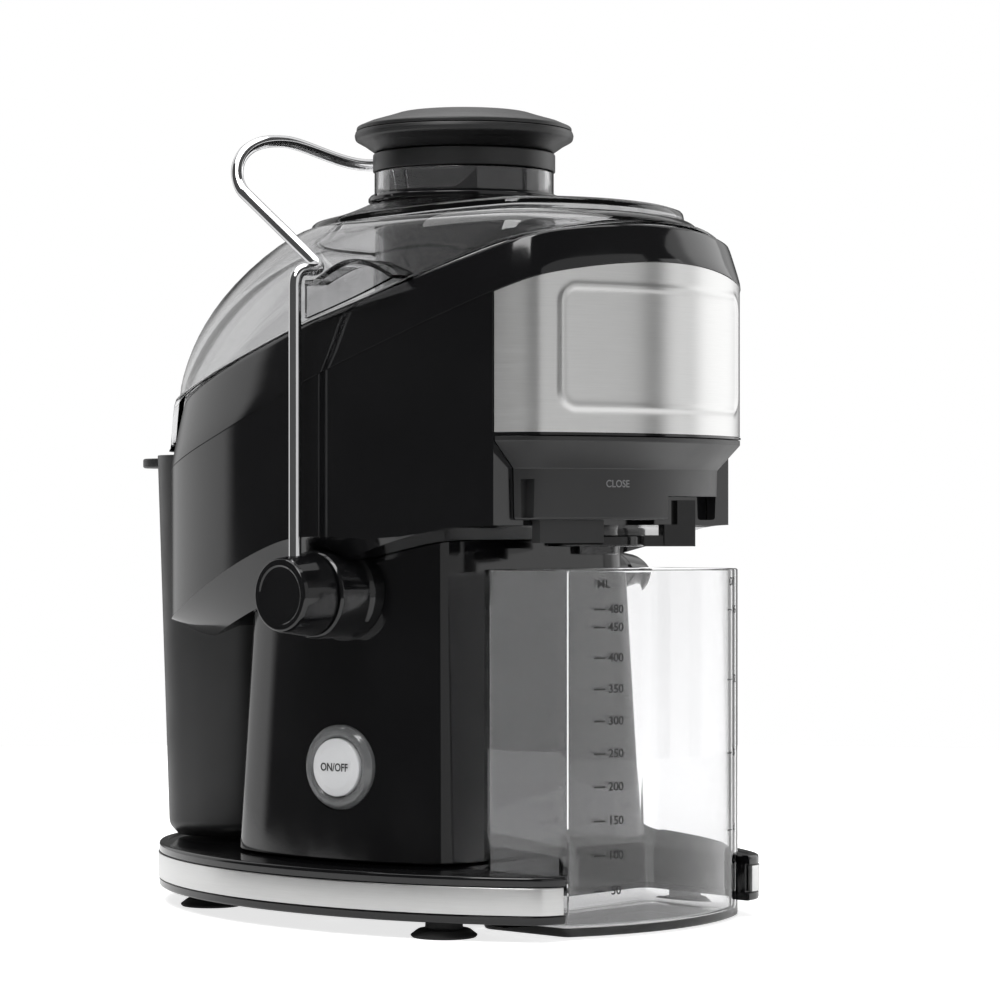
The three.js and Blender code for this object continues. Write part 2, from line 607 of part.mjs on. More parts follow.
/** The cooling fan: a hub disc with straight radial blades over it. */
function fan() {
  const { blades, radius, discZ, discHeight, bladeHeight, bladeWidth } = FAN;
  let wheel = pipe(SHAFT_CLEAR, radius, discZ, discZ + discHeight);
  for (let index = 0; index < blades; index += 1) {
    const bladeZ = discZ + discHeight - 0.5;
    const blade = box(10, radius - 1, -bladeWidth / 2, bladeWidth / 2, bladeZ, bladeZ + bladeHeight);
    wheel = wheel.add(blade.rotate([0, 0, (360 * index) / blades]));
  }
  return wheel;
}

// ---------------------------------------------------------------- juicing parts
function addJuicingParts() {
  add("juice_bowl", turned(JUICE_BOWL).subtract(box(...JUICE_OUTLET)), smoke());
  add("drive_coupling", turned(COUPLING), satinBlack());
  add("basket_hub", turned(HUB), satinBlack());
  add("grater_disc", turned(GRATER), steel());
  add("filter_basket", turned(BASKET), steel());
  add("basket_rim", turned(BASKET_RIM), satinBlack());
  add("basket_nut", turned(NUT, 6), steel());
}

// ---------------------------------------------------------------- lid
const lidFootZ = (y) => {
  const drop = smoothstep((y - 108) / 12);
  return (bandZ(y) + GAP) * (1 - drop) + LID_REAR_Z * drop;
};

/** Rings of the lid's surface, moved inwards by inset: an upright rim, the dome, then the raised roof. */
function lidRings(inset) {
  const outline = oval(LID_OVAL, inset);
  const rearBase = oval(LID_OVAL, inset + 2);
  const frontBase = oval(LID_OVAL, inset + 8);
  const noseRoof = oval(LID_OVAL, inset + ROOF.frontInset);
  const stations = outline.map(([x, y], k) => {
    const angle = -Math.PI / 2 + (2 * Math.PI * k) / OUTLINE_POINTS;
    const reach = (ROOF.radius - inset) / Math.hypot(x, y);
    const towardsNose = smoothstep((-y / Math.hypot(x, y) + 0.15) / 0.75);
    return {
      outline: [x, y],
      base: mix(rearBase[k], frontBase[k], smoothstep((20 - y) / 110)),
      roof: mix([x * reach, y * reach], noseRoof[k], towardsNose),
      top: [LID_TOP.radius * Math.cos(angle), LID_TOP.radius * Math.sin(angle)],
      footZ: lidFootZ(y),
    };
  });
  const roofHeight = (heights, y) => {
    const share = THREE.MathUtils.clamp((y - ROOF.frontY) / (ROOF.rearY - ROOF.frontY), 0, 1);
    return THREE.MathUtils.lerp(...heights, share) - inset;
  };
  const roofFootZ = (s) => roofHeight(ROOF.footZ, s.roof[1]);
  const roofEdgeZ = (s) => roofHeight(ROOF.edgeZ, s.roof[1]);
  const summitZ = LID_TOP.z - inset;
  const at = (place, height) => stations.map((s) => [...place(s), height(s)]);
  const rings = [
    at((s) => s.outline, (s) => s.footZ),
    at((s) => s.outline, (s) => s.footZ + RIM_HEIGHT - 0.3),
    at((s) => s.base, (s) => s.footZ + RIM_HEIGHT + 0.6),
  ];
  for (const t of [0.03, 0.1, 0.2, 0.34, 0.52, 0.74, 0.92, 1]) {
    const rise = (1 - (1 - t) ** 1.63) ** 0.6;
    rings.push(at(
      (s) => mix(s.base, s.roof, t),
      (s) => THREE.MathUtils.lerp(s.footZ + RIM_HEIGHT + 0.6, roofFootZ(s), rise),
    ));
  }
  const edge = (s) => s.roof.map((v) => v * (1 - 2.2 / ROOF.radius));
  rings.push(at((s) => s.roof, (s) => THREE.MathUtils.lerp(roofFootZ(s), roofEdgeZ(s), 0.8)));
  rings.push(at(edge, roofEdgeZ));
  const slope = (s) => mix(edge(s), s.top, 0.5);
  rings.push(at(slope, (s) => THREE.MathUtils.lerp(roofEdgeZ(s), summitZ, 0.45)));
  rings.push(at((s) => s.top, () => summitZ));
  return rings;
}

/** A hollow ledge on the lid's shoulder, with an arched crown in front of the place where the bail rests. */
function lidLedge(sign) {
  const { inner, outer, front, archRear, rear, restZ, crownZ, wall } = LEDGE;
  const steps = 9;
  const along = Array.from({ length: steps }, (_, k) => THREE.MathUtils.lerp(front, rear, k / (steps - 1)));
  const crown = (y) => {
    const share = Math.min(1, (y - front) / (archRear - front));
    return restZ + (crownZ - restZ) * Math.sin(Math.PI * share);
  };
  const prism = (x0, x1, footDrop, crownDrop) => {
    const foot = along.map((y) => [y, bandZ(y) + 2 * GAP - footDrop]);
    const top = along.map((y) => [y, crown(y) - crownDrop]).reverse();
    const section = (x) => [...foot, ...top].map(([y, z]) => [sign * x, y, z]);
    return toSolid(skin([section(x0), section(x1)]));
  };
  return prism(inner, outer, 0, 0).subtract(prism(inner - 4, outer - wall, 6, wall));
}

function addLid() {
  let lid = toSolid(skin([...lidRings(0), ...lidRings(LID_WALL).reverse()], true));
  const core = toSolid(skin(lidRings(LID_WALL)));
  for (const sign of [-1, 1]) lid = lid.add(lidLedge(sign).subtract(core));
  add("lid", lid, smoke());
}

/** The gloss band under the lid; its outer wall leans in towards the lid. */
function addLidFrame() {
  const bandFootZ = (y) => seamZ(y) + GAP;
  const outerWall = BAND_LEAN.map(([inset, share]) => ring(
    oval(BOWL_OVAL, inset),
    (y) => THREE.MathUtils.lerp(bandFootZ(y), bandZ(y), share),
  ));
  const frameRings = [
    ...outerWall,
    ring(oval(BOWL_OVAL, 5.6), bandZ),
    ring(oval(BOWL_OVAL, 11), bandZ),
    ring(oval(BOWL_OVAL, 11), (y) => bandZ(y) - 3),
    ring(oval(BOWL_OVAL, 8), (y) => bandZ(y) - 4),
    ring(oval(BOWL_OVAL, 3), bandFootZ),
  ];
  const rearOpening = box(-58, 58, 98, 200, 100, 300);
  const frame = toSolid(skin(frameRings, true)).subtract(pulpPocket(PULP_ROOM)).subtract(rearOpening);
  add("lid_frame", frame, glossBlack());
}

function addChute() {
  const ringFoot = LID_TOP.z + 0.5;
  const ringInner = CHUTE.outer + GAP;
  add("feed_chute", pipe(CHUTE.inner, CHUTE.outer, CHUTE.bottomZ, CHUTE.topZ), smoke());
  add("chute_ring", turned([[ringInner, ringFoot], [CHUTE_RING_RADIUS, ringFoot],
    [CHUTE_RING_RADIUS, ringFoot + 1.1], [CHUTE_RING_RADIUS - 1, ringFoot + 2.5],
    [ringInner, ringFoot + 2.5]]), glossBlack());
  add("chute_collar", pipe(COLLAR.inner, COLLAR.outer, CHUTE.topZ + GAP, COLLAR.topZ), satinBlack());
}

// ---------------------------------------------------------------- pusher
function addPusher() {
  const { radius, wall, bottomZ, seamZ: parting, topZ, capRadius } = PUSHER;
  const capFoot = COLLAR.topZ + 0.4;
  add("pusher_body", turned([[0, bottomZ], [radius - 2, bottomZ], [radius, bottomZ + 2],
    [radius, capFoot - GAP], [radius - wall, capFoot - GAP], [radius - wall, bottomZ + wall],
    [0, bottomZ + wall]]), glossBlack());
  add("pusher_cap", turned([[0, capFoot], [34.8, capFoot], [40.5, parting - 4.4],
    [capRadius - 0.5, parting - 2.8], [capRadius, parting - 1.4], [capRadius - 0.4, parting],
    [0, parting]]), satinBlack());
  const seat = parting + GAP;
  add("pusher_top", turned([[0, seat], [capRadius - 0.5, seat], [capRadius - 1, seat + 2], [38, seat + 3.6],
    [29, topZ - 1.5], [14, topZ - 0.3], [0, topZ]]), satinBlack());
}

// ---------------------------------------------------------------- bail
/** The bail's centre line: up each leg, in over the ledge, then up, back and across. */
function bailPath() {
  const { legX, hookX, hookZ, bend, topX, topY, topZ, dipZ } = BAIL;
  const rampEnd = new THREE.Vector3(topX, 0.86 * topY, hookZ + 0.59 * (topZ - hookZ));
  const rise = rampEnd.clone().sub(new THREE.Vector3(hookX, 0, hookZ)).normalize();
  const crownX = topX - 29.3;
  const path = new THREE.CurvePath();
  const half = (sign) => {
    const at = (x, y, z) => new THREE.Vector3(sign * x, y, z);
    const legTop = at(legX, 0, hookZ - bend);
    const hookEnd = at(hookX + bend, 0, hookZ);
    const rampStart = at(hookX + rise.x * bend, rise.y * bend, hookZ + rise.z * bend);
    const rampStop = at(...rampEnd);
    const crown = at(crownX, topY, topZ);
    return [
      new THREE.LineCurve3(at(legX, 0, PIVOT.z + 3), legTop),
      new THREE.QuadraticBezierCurve3(legTop, at(legX, 0, hookZ), at(legX - bend, 0, hookZ)),
      new THREE.LineCurve3(at(legX - bend, 0, hookZ), hookEnd),
      new THREE.QuadraticBezierCurve3(hookEnd, at(hookX, 0, hookZ), rampStart),
      new THREE.LineCurve3(rampStart, rampStop),
      new THREE.CubicBezierCurve3(
        rampStop, at(topX + 1, topY - 1, topZ - 16.4), at(topX - 1.5, topY, topZ), crown,
      ),
      new THREE.CubicBezierCurve3(crown, at(crownX - 11, topY, topZ), at(15, topY, dipZ), at(0, topY, dipZ)),
    ];
  };
  const reversed = (curve) => {
    if (curve instanceof THREE.LineCurve3) return new THREE.LineCurve3(curve.v2, curve.v1);
    if (curve instanceof THREE.QuadraticBezierCurve3) {
      return new THREE.QuadraticBezierCurve3(curve.v2, curve.v1, curve.v0);
    }
    return new THREE.CubicBezierCurve3(curve.v3, curve.v2, curve.v1, curve.v0);
  };
  for (const curve of half(-1)) path.add(curve);
  for (const curve of half(1).reverse()) path.add(reversed(curve));
  return path;
}

function addBail() {
  add("bail_wire", rod(bailPath(), WIRE_RADIUS, 96, 8), chrome());
  const motorSkin = motorBlock(-GAP, DECK_Z, MOTOR_TOP_Z);
  const { outer, inner, tipRadius, rimRadius, pinRadius } = KNOB;
  const socket = cylinder(WIRE_RADIUS + GAP, PIVOT.z + 2, PIVOT.z + 30, 20);
  for (const [side, sign] of [["left", -1], ["right", 1]]) {
    const knobProfile = [[0, outer], [tipRadius - 1, outer], [tipRadius, outer - 1], [rimRadius, inner + 1],
      [rimRadius - 0.8, inner], [pinRadius, inner], [pinRadius, inner - 16], [0, inner - 16]];
    const knob = turnedAlongX(knobProfile, sign, PIVOT.y, PIVOT.z);
    add(`pivot_knob_${side}`, knob.subtract(socket.translate([sign * BAIL.legX, 0, 0])), glossBlack());
    const bossProfile = [[pinRadius + GAP, BOSS.inner], [BOSS.radius, BOSS.inner],
      [BOSS.radius, BOSS.inner + 12], [BOSS.neckRadius, inner - 1.4], [BOSS.neckRadius - 0.8, inner - 0.5],
      [pinRadius + GAP, inner - 0.5]];
    const boss = turnedAlongX(bossProfile, sign, PIVOT.y, PIVOT.z);
    add(`pivot_boss_${side}`, boss.subtract(motorSkin).subtract(bowlBlock(GAP, -GAP)), glossBlack());
  }
}

// ---------------------------------------------------------------- cup
/** A closed outline of the cup: flat sides and rear, a bowed front, rounded rear corners. */
function cupShape(inset) {
  const halfWidth = CUP.halfWidth - inset;
  const rear = CUP.rearY - inset;
  const corner = CUP.cornerY + inset;
  const front = CUP.frontY + inset;
  const { radius } = CUP;
  const sagitta = corner - front;
  const frontRadius = (halfWidth * halfWidth + sagitta * sagitta) / (2 * sagitta);
  const sweep = Math.asin(halfWidth / frontRadius);
  const shape = new THREE.Shape();
  shape.absarc(0, front + frontRadius, frontRadius, -Math.PI / 2 - sweep, -Math.PI / 2 + sweep);
  shape.lineTo(halfWidth, rear - radius);
  shape.absarc(halfWidth - radius, rear - radius, radius, 0, Math.PI / 2);
  shape.lineTo(-halfWidth + radius, rear);
  shape.absarc(-halfWidth + radius, rear - radius, radius, Math.PI / 2, Math.PI);
  shape.closePath();
  return shape;
}

function cupPrism(inset, z0, z1) {
  const options = { depth: z1 - z0, curveSegments: 12, bevelEnabled: false };
  const geometry = new THREE.ExtrudeGeometry(cupShape(inset), options);
  geometry.translate(0, 0, z0);
  return toSolid(geometry);
}

function addCup() {
  const inside = cupPrism(CUP.wall, CUP.bottomZ + CUP.floor, CUP.topZ + 5);
  add("juice_cup", cupPrism(0, CUP.bottomZ, CUP.topZ).subtract(inside), clear());
}

// ---------------------------------------------------------------- pulp container
function addPulpContainer() {
  const { centreY, halfWidth, halfDepth, power, bottomZ, topZ, wall } = PULP;
  const wallRing = (inset, z) => ring(superellipse(centreY, halfWidth - inset, halfDepth - inset, power), z);
  const outside = toSolid(skin([wallRing(8, bottomZ), wallRing(4.5, bottomZ + 4), wallRing(0, topZ)]));
  const inside = toSolid(skin([wallRing(8 + wall, bottomZ + wall), wallRing(4.5 + wall, bottomZ + 5),
    wallRing(wall, topZ + 1)]));
  const lipOutline = superellipse(centreY + halfDepth - 2, 34, 20, power);
  const lip = toSolid(skin([ring(lipOutline, topZ - 5), ring(lipOutline, topZ - 1)]));
  const container = outside.add(lip).subtract(inside);
  add("pulp_container", container, satinBlack());
}

addBase();
addMotorHousing();
addButton();
addMotor();
addBowlHousing();
addSpout();
addJuicingParts();
addLid();
addLidFrame();
addChute();
addPusher();
addBail();
addCup();
addPulpContainer();
group.position.y = -MIDDLE_Y;

export default group;
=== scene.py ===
"""Looks of a compact centrifugal juicer, built around its packed model: fine surfaces, materials,
light and camera.

Sizes are in millimetres in the machine's own frame (machine axis at x = 0, y = 0), as in the CAD model.
to_frame() turns them into metres in the row frame.
"""
import math
from contextlib import contextmanager
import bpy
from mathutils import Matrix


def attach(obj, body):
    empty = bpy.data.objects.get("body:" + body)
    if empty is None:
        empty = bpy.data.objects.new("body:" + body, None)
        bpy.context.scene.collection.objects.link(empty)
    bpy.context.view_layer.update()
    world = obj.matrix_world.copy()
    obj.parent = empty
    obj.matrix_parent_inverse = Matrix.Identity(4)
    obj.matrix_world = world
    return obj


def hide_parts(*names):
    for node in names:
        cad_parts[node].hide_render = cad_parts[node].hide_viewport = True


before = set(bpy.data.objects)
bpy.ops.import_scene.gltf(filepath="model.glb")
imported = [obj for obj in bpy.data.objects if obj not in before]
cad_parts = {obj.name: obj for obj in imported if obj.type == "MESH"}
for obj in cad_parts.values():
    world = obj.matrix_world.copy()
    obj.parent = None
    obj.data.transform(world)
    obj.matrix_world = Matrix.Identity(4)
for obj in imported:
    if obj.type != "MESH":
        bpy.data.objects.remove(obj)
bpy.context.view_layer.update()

from types import SimpleNamespace as Sizes

import bmesh
import bpy
import numpy as np
from mathutils import Matrix, Vector

# ---- sizes shared with the CAD model, in mm
MM = 0.001
MIDDLE_Y = 26.75
GAP = 0.3
SHARP, SOFT = 48, 16
CENTRE_Y = 5
BOWL_OVAL = Sizes(
    half_width=84, half_length=141, centre_y=CENTRE_Y, front=-108, bow=0.0043, rear=112, corner=SHARP
)
LID_OVAL = Sizes(
    half_width=79, half_length=143, centre_y=CENTRE_Y, front=-104, bow=0.0058, rear=150, corner=SHARP
)
BASE_OVAL = Sizes(
    half_width=95, half_length=138, centre_y=CENTRE_Y, front=-101, bow=0, rear=160, corner=SHARP
)
MOTOR_OVAL = Sizes(
    half_width=72, half_length=97, centre_y=15, front=-46, bow=0, rear=68.5, corner=SOFT
)
LIP_Z = 6.5
BAND_Z = (10, 20)
DECK_Z = 24
FOOT_SPOTS = [(-70, -56), (70, -56), (-57, 84), (57, 84)]
SCREW_SPOTS = [(-38, 40), (38, 40), (-62, 10), (62, 10)]
SCREW = Sizes(hole=2.3, boss=4, pilot=1.6, boss_foot_z=9.9)
VENT = Sizes(count=7, half_length=18, first_y=44, width=2.4, pitch=5, top_z=8.4)
RECESS = Sizes(half_width=53, rear_y=-48, radius=8)
MOTOR_TOP_Z = 160
MOTOR_TAPER = 7.5
BUTTON = Sizes(y=-0.5, z=59.5, radius=11, bezel=16, face=3.3)
GLAND = Sizes(z=36, hole=6.3)
SEAM_POINTS = [(-130, 258), (-87, 239.6), (-40, 220.6), (0, 206.1), (58, 186), (130, 168)]
BAND_POINTS = [(-130, 272.5), (-87, 257.4), (-30, 237.9), (10, 226.6), (58, 212.9), (130, 195)]
FLOOR_FRONT_Z = 151.5
FLOOR_AXIS_Z = 135
FLOOR_SLOPE = 0.27
FLOOR_BLEND = 1.5
CHAMFER = Sizes(height=14, rear_height=7, inset=16, start_y=-50, full_y=20, rear_y=110, edge=0.6)
BOWL_WALL = 2.6
HUB_HOLE_RADIUS = 19
PANEL = Sizes(rear_y=-78.5, bottom_z=185, thickness=1)
NOSE = Sizes(rear_y=-78.5, cone_top_z=184, cone_bottom_z=172, bottom_z=153, inset=9.5)
BAND_LEAN = 5
LID_WALL = 2.4
LID_TOP = Sizes(radius=36.2, z=277)
LID_REAR = Sizes(z=181, y=108, run=12)
RIM_HEIGHT = 1
ROOF = Sizes(radius=60, front_inset=17, front_y=-87, rear_y=50, foot_z=(269, 266), edge_z=(273.4, 268))
PIVOT = Sizes(y=0, z=125, hole=6)
WIRE_RADIUS = 2.4
BAIL = Sizes(leg_x=92, hook_x=77, hook_z=247, bend=7, top_x=72, top_y=57, top_z=302.4, dip_z=296.5)
LEDGE = Sizes(inner=66, outer=83, front=-42, arch_rear=-1, rear=4, rest_z=243.2, crown_z=250)
CUP = Sizes(
    half_width=49.5, rear_y=-53, corner_y=-98, corner_radius=7, front_y=-110, bottom_z=1, top_z=134.5,
    wall=2, floor=3,
)
PULP = Sizes(centre_y=111, half_width=48.6, half_depth=34.5, power=2.6, bottom_z=24.6, top_z=179.5, wall=2.2)
PULP_CLEARANCE = 1.4
SPOUT = Sizes(
    y=-68, disc_radius=19, bore=6, top_z=147.2, bottom_z=143, nozzle_z=140, tab_top_z=160.5, lever_turn=38
)
CHUTE = Sizes(inner=33, outer=35.2, bottom_z=206, top_z=289, ring_radius=37.6)
PUSHER = Sizes(radius=31.8, wall=2.4, bottom_z=210, rim_z=296.5, foot_z=296.8, seam_z=305, top_z=312.9)
WINDOW_X = (8, 54)
SKIRT = Sizes(inset=15, x=(-47, -21), bottom_z=144.5)
COLLAR_SLOT = Sizes(x=(-80, -52.5), y=(-86.5, -81), z=(153.8, 168))
LEVER = Sizes(tip=38, half_width=5.5, foot_start=26, foot_top_z=151.3, tab_start=31)

# ---- sizes of the looks alone, in mm
ROUND = 96
OUTLINE_POINTS = 224
FINE_OUTLINE_POINTS = 2400
FAR = 400
BASKET = Sizes(rows=13, slots=150, foot=(46.9, 168.6), rim=(54.9, 198.8), sheet=0.5, web=0.55)
EMBOSS = Sizes(half_length=52, half_height=22, corner=6, centre_z=216.5, ridge=0.75, width=1.5, field=0.2)
PRINT = Sizes(size=4.4, above=0.08, depth=0.05, weight=0.014, stroke=0.56)
SCALES = Sizes(title_z=129.5, first_z=17.4, first_ml=50, per_ml=0.2608, widening=5.0e-5, ml_per_ounce=29.57)

# ---- camera and lights, in metres and watts
CAMERA = Sizes(azimuth=math.radians(47.2), distance=1.375, side=0.01408, eye_z=0.153, lens=126, shift_y=0.02)
FORWARD = Vector((math.sin(CAMERA.azimuth), math.cos(CAMERA.azimuth), 0))
LIGHT_TARGET = Vector((0, 0, 0.16))
LIGHTS = {
    "top_box": Sizes(place=(0.0, 0.05, 1.5), size=(1.5, 1.5), power=17),
    "front_box": Sizes(place=(0.05, -1.6, 0.5), size=(1.9, 1.3), power=4.6),
    "front_strip": Sizes(place=(1.17, -1.09, 0.36), size=(0.34, 0.9), power=1.0),
    "right_box": Sizes(place=(1.6, -0.5, 0.5), size=(1.2, 1.3), power=3.6),
    "left_key": Sizes(place=(-1.1, -0.4, 1.65), size=(0.8, 0.8), power=17),
}


# ---- curves and outlines
def catmull_rom(points):
    """A function y -> z through [y, z] points: the spline of the CAD model, sampled finely."""
    control = [np.array(p, float) for p in points]
    samples = []
    for i in range(len(control) - 1):
        p0 = control[max(i - 1, 0)]
        p1, p2 = control[i], control[i + 1]
        p3 = control[min(i + 2, len(control) - 1)]
        v0, v1 = (p2 - p0) / 2, (p3 - p1) / 2
        for t in np.linspace(0, 1, 60, endpoint=False):
            cubic = (2 * p1 - 2 * p2 + v0 + v1) * t ** 3
            samples.append(cubic + (-3 * p1 + 3 * p2 - 2 * v0 - v1) * t ** 2 + v0 * t + p1)
    samples.append(control[-1])
    table = np.array(samples)
    return lambda y: np.interp(y, table[:, 0], table[:, 1])


seam_z = catmull_rom(SEAM_POINTS)
band_z = catmull_rom(BAND_POINTS)


def smoothstep(value):
    t = np.clip(value, 0, 1)
    return t * t * (3 - 2 * t)


def under_z(y):
    """Height of the bowl housing's underside: level in front, then falling towards the rear."""
    gap = FLOOR_FRONT_Z - (FLOOR_AXIS_Z - FLOOR_SLOPE * y)
    return FLOOR_FRONT_Z - (gap + np.hypot(gap, 2 * FLOOR_BLEND)) / 2


def chamfer_at(y):
    return smoothstep((y - CHAMFER.start_y) / (CHAMFER.full_y - CHAMFER.start_y))


def chamfer_height(y):
    """Height of the sloping lower edge of the bowl housing, which narrows towards the rear."""
    rear = smoothstep((y - CHAMFER.full_y) / (CHAMFER.rear_y - CHAMFER.full_y))
    return chamfer_at(y) * (CHAMFER.height + (CHAMFER.rear_height - CHAMFER.height) * rear)


def even(outline, count):
    """The same closed outline with count points at equal steps along it, from its first point."""
    closed = np.vstack([outline, outline[:1]])
    steps = np.hypot(*np.diff(closed, axis=0).T)
    along = np.concatenate([[0], np.cumsum(steps)])
    at = np.linspace(0, along[-1], count, endpoint=False)
    return np.column_stack([np.interp(at, along, closed[:, 0]), np.interp(at, along, closed[:, 1])])


def round_angles(count=1440):
    """Angles once round from the front by way of +X."""
    return -math.pi / 2 + 2 * math.pi * np.arange(count) / count


def oval(shape, inset=0.0, count=OUTLINE_POINTS):
    """Points [x, y] round an oval, from the front by way of +X, moved inwards by inset."""
    c, s = np.cos(round_angles()), np.sin(round_angles())
    to_front = shape.centre_y - shape.front - inset
    to_rear = shape.rear - shape.centre_y - inset
    ellipse = np.hypot(c / (shape.half_width - inset), s / (shape.half_length - inset))
    nose = (np.sqrt(s * s + 4 * shape.bow * c * c * to_front) - s) / (2 * to_front)
    tail = np.maximum(0, s) / to_rear
    power = shape.corner
    radius = (ellipse ** power + nose ** power + tail ** power) ** (-1 / power)
    return even(np.column_stack([radius * c, shape.centre_y + radius * s]), count)


def superellipse(centre_y, half_width, half_depth, power):
    c, s = np.cos(round_angles()), np.sin(round_angles())
    x = np.sign(c) * np.abs(c) ** (2 / power) * half_width
    y = np.sign(s) * np.abs(s) ** (2 / power) * half_depth
    return even(np.column_stack([x, centre_y + y]), 160)


def lift(outline, height):
    """An outline raised to a ring; height is a number, one for each point, or a function of y."""
    z = height(outline[:, 1]) if callable(height) else height
    return np.column_stack([outline, np.broadcast_to(z, len(outline))])


def across(profile, x):
    """A ring of [y, z] points in the plane at x."""
    return np.column_stack([np.full(len(profile), x), profile])


def arc(cx, cy, radius, start, stop, count):
    angle = np.linspace(start, stop, count)
    return np.column_stack([cx + radius * np.cos(angle), cy + radius * np.sin(angle)])


def bezier(points, count):
    """A Bezier curve of any degree from its first point to its last."""
    t = np.linspace(0, 1, count)[:, None]
    degree = len(points) - 1
    weights = [math.comb(degree, i) * (1 - t) ** (degree - i) * t ** i for i in range(degree + 1)]
    return sum(weight * np.array(point, float) for weight, point in zip(weights, points))


def fillet(points, steps=5):
    """A polyline from (a, b, radius) points, with each corner of radius above 0 rounded."""
    out = []
    for i, (x, y, radius) in enumerate(points):
        here = np.array([x, y], float)
        if radius <= 0 or i in (0, len(points) - 1):
            out.append(here)
            continue
        before = np.array(points[i - 1][:2], float) - here
        after = np.array(points[i + 1][:2], float) - here
        la, lb = np.linalg.norm(before), np.linalg.norm(after)
        before, after = before / la, after / lb
        half = math.acos(float(np.clip(before @ after, -1, 1))) / 2
        reach = min(radius / math.tan(half), 0.45 * la, 0.45 * lb)
        out.extend(bezier([here + before * reach, here, here + after * reach], steps + 1))
    return np.array(out)


# ---- mesh helpers
def to_frame(points):
    placed = np.array(points, float).reshape(-1, 3) * MM
    placed[:, 1] -= MIDDLE_Y * MM
    return placed


def add_object(name, data):
    obj = bpy.data.objects.new(name, data)
    bpy.context.scene.collection.objects.link(obj)
    return obj


@contextmanager
def editing(mesh):
    """Opens a mesh for bmesh operations and writes it back."""
    work = bmesh.new()
    work.from_mesh(mesh)
    yield work
    work.to_mesh(mesh)
    work.free()


def evaluated_mesh(obj):
    """A new mesh of what the object shows, with its modifiers or its curve applied."""
    bpy.context.view_layer.update()
    return bpy.data.meshes.new_from_object(obj.evaluated_get(bpy.context.evaluated_depsgraph_get()))


def shade(obj, sharp=40):
    obj.data.shade_smooth()
    obj.data.set_sharp_from_angle(angle=math.radians(sharp))


def mesh_object(name, points, faces):
    mesh = bpy.data.meshes.new(name)
    mesh.from_pydata([tuple(p) for p in to_frame(points)], [], [tuple(int(i) for i in f) for f in faces])
    with editing(mesh) as work:
        bmesh.ops.remove_doubles(work, verts=work.verts, dist=1e-6)
        bmesh.ops.recalc_face_normals(work, faces=work.faces)
    obj = add_object(name, mesh)
    shade(obj)
    return obj


def loft(name, rings, looped=False, caps="strip"):
    """Skins rings of equal count. Strip caps suit outlines that start at the front and mirror in x."""
    count = len(rings[0])
    faces = []
    for r in range(len(rings) if looped else len(rings) - 1):
        low, high = r * count, ((r + 1) % len(rings)) * count
        for k in range(count):
            n = (k + 1) % count
            faces.append((low + k, low + n, high + n, high + k))
    ends = () if looped or not caps else (0, (len(rings) - 1) * count)
    for start in ends:
        if caps == "ngon":
            faces.append(tuple(range(start, start + count)))
            continue
        for k in range(count // 2):
            quad = [k, k + 1, count - k - 1, (count - k) % count]
            faces.append(tuple(dict.fromkeys(start + i for i in quad)))
    return mesh_object(name, np.vstack(rings), faces)


def revolve(name, profile, segments=ROUND):
    """A piece turned about the machine axis from [radius, z] points, which start and end on the axis,
    or close on themselves."""
    profile = np.array(profile, float)
    on_axis = profile[:, 0] < 1e-6
    looped = not on_axis[0] and not np.allclose(profile[0], profile[-1])
    angle = 2 * math.pi * np.arange(segments) / segments
    points, index = [], []
    for (radius, z), single in zip(profile, on_axis):
        count = 1 if single else segments
        index.append([len(points) + k % count for k in range(segments)])
        points.extend((radius * math.cos(a), radius * math.sin(a), z) for a in angle[:count])
    faces = []
    rows = len(index)
    for r in range(rows if looped else rows - 1):
        low, high = index[r], index[(r + 1) % rows]
        for k in range(segments):
            n = (k + 1) % segments
            corners = list(dict.fromkeys([low[k], low[n], high[n], high[k]]))
            if len(corners) > 2:
                faces.append(corners)
    return mesh_object(name, points, faces)


def block(name, x, y, z):
    """A block between pairs of limits."""
    corners = [(a, b, c) for a in x for b in y for c in z]
    faces = [(0, 1, 3, 2), (4, 6, 7, 5), (0, 4, 5, 1), (2, 3, 7, 6), (0, 2, 6, 4), (1, 5, 7, 3)]
    return mesh_object(name, corners, faces)


def cutting_block(x=(-FAR, FAR), y=(-FAR, FAR), z=(-FAR, FAR)):
    """A block to cut with. A side whose limits aren't given reaches past the machine."""
    return block("cutter", x, y, z)


def cutting_rod(radius, low, high, segments=ROUND):
    """A cylinder about +Z to cut with."""
    return revolve("cutter", [(0, low), (radius, low), (radius, high), (0, high)], segments)


def move(obj, matrix):
    """Transforms a mesh in millimetres about the machine axis."""
    origin = Matrix.Translation((0, -MIDDLE_Y * MM, 0))
    obj.data.transform(origin @ matrix @ origin.inverted())
    return obj


def shift(x, y, z):
    return Matrix.Translation((x * MM, y * MM, z * MM))


def along_x(obj, sign):
    """Turns a piece revolved about +Z so that it runs along X at the bail's pivot."""
    return move(obj, shift(0, PIVOT.y, PIVOT.z) @ Matrix.Rotation(sign * math.pi / 2, 4, "Y"))


def bake(obj, sharp=40):
    """Applies the piece's modifiers to its mesh."""
    mesh = evaluated_mesh(obj)
    obj.modifiers.clear()
    obj.data = mesh
    shade(obj, sharp)
    return obj


def boolean(obj, operation, *others):
    for other in others:
        modifier = obj.modifiers.new("cut", "BOOLEAN")
        modifier.operation = operation
        modifier.solver = "MANIFOLD"
        modifier.object = other
        bake(obj)
        bpy.data.objects.remove(other)
    return obj


def bevel(obj, width, segments, angle):
    modifier = obj.modifiers.new("edges", "BEVEL")
    modifier.width = width * MM
    modifier.segments = segments
    modifier.limit_method = "ANGLE"
    modifier.angle_limit = math.radians(angle)
    return modifier


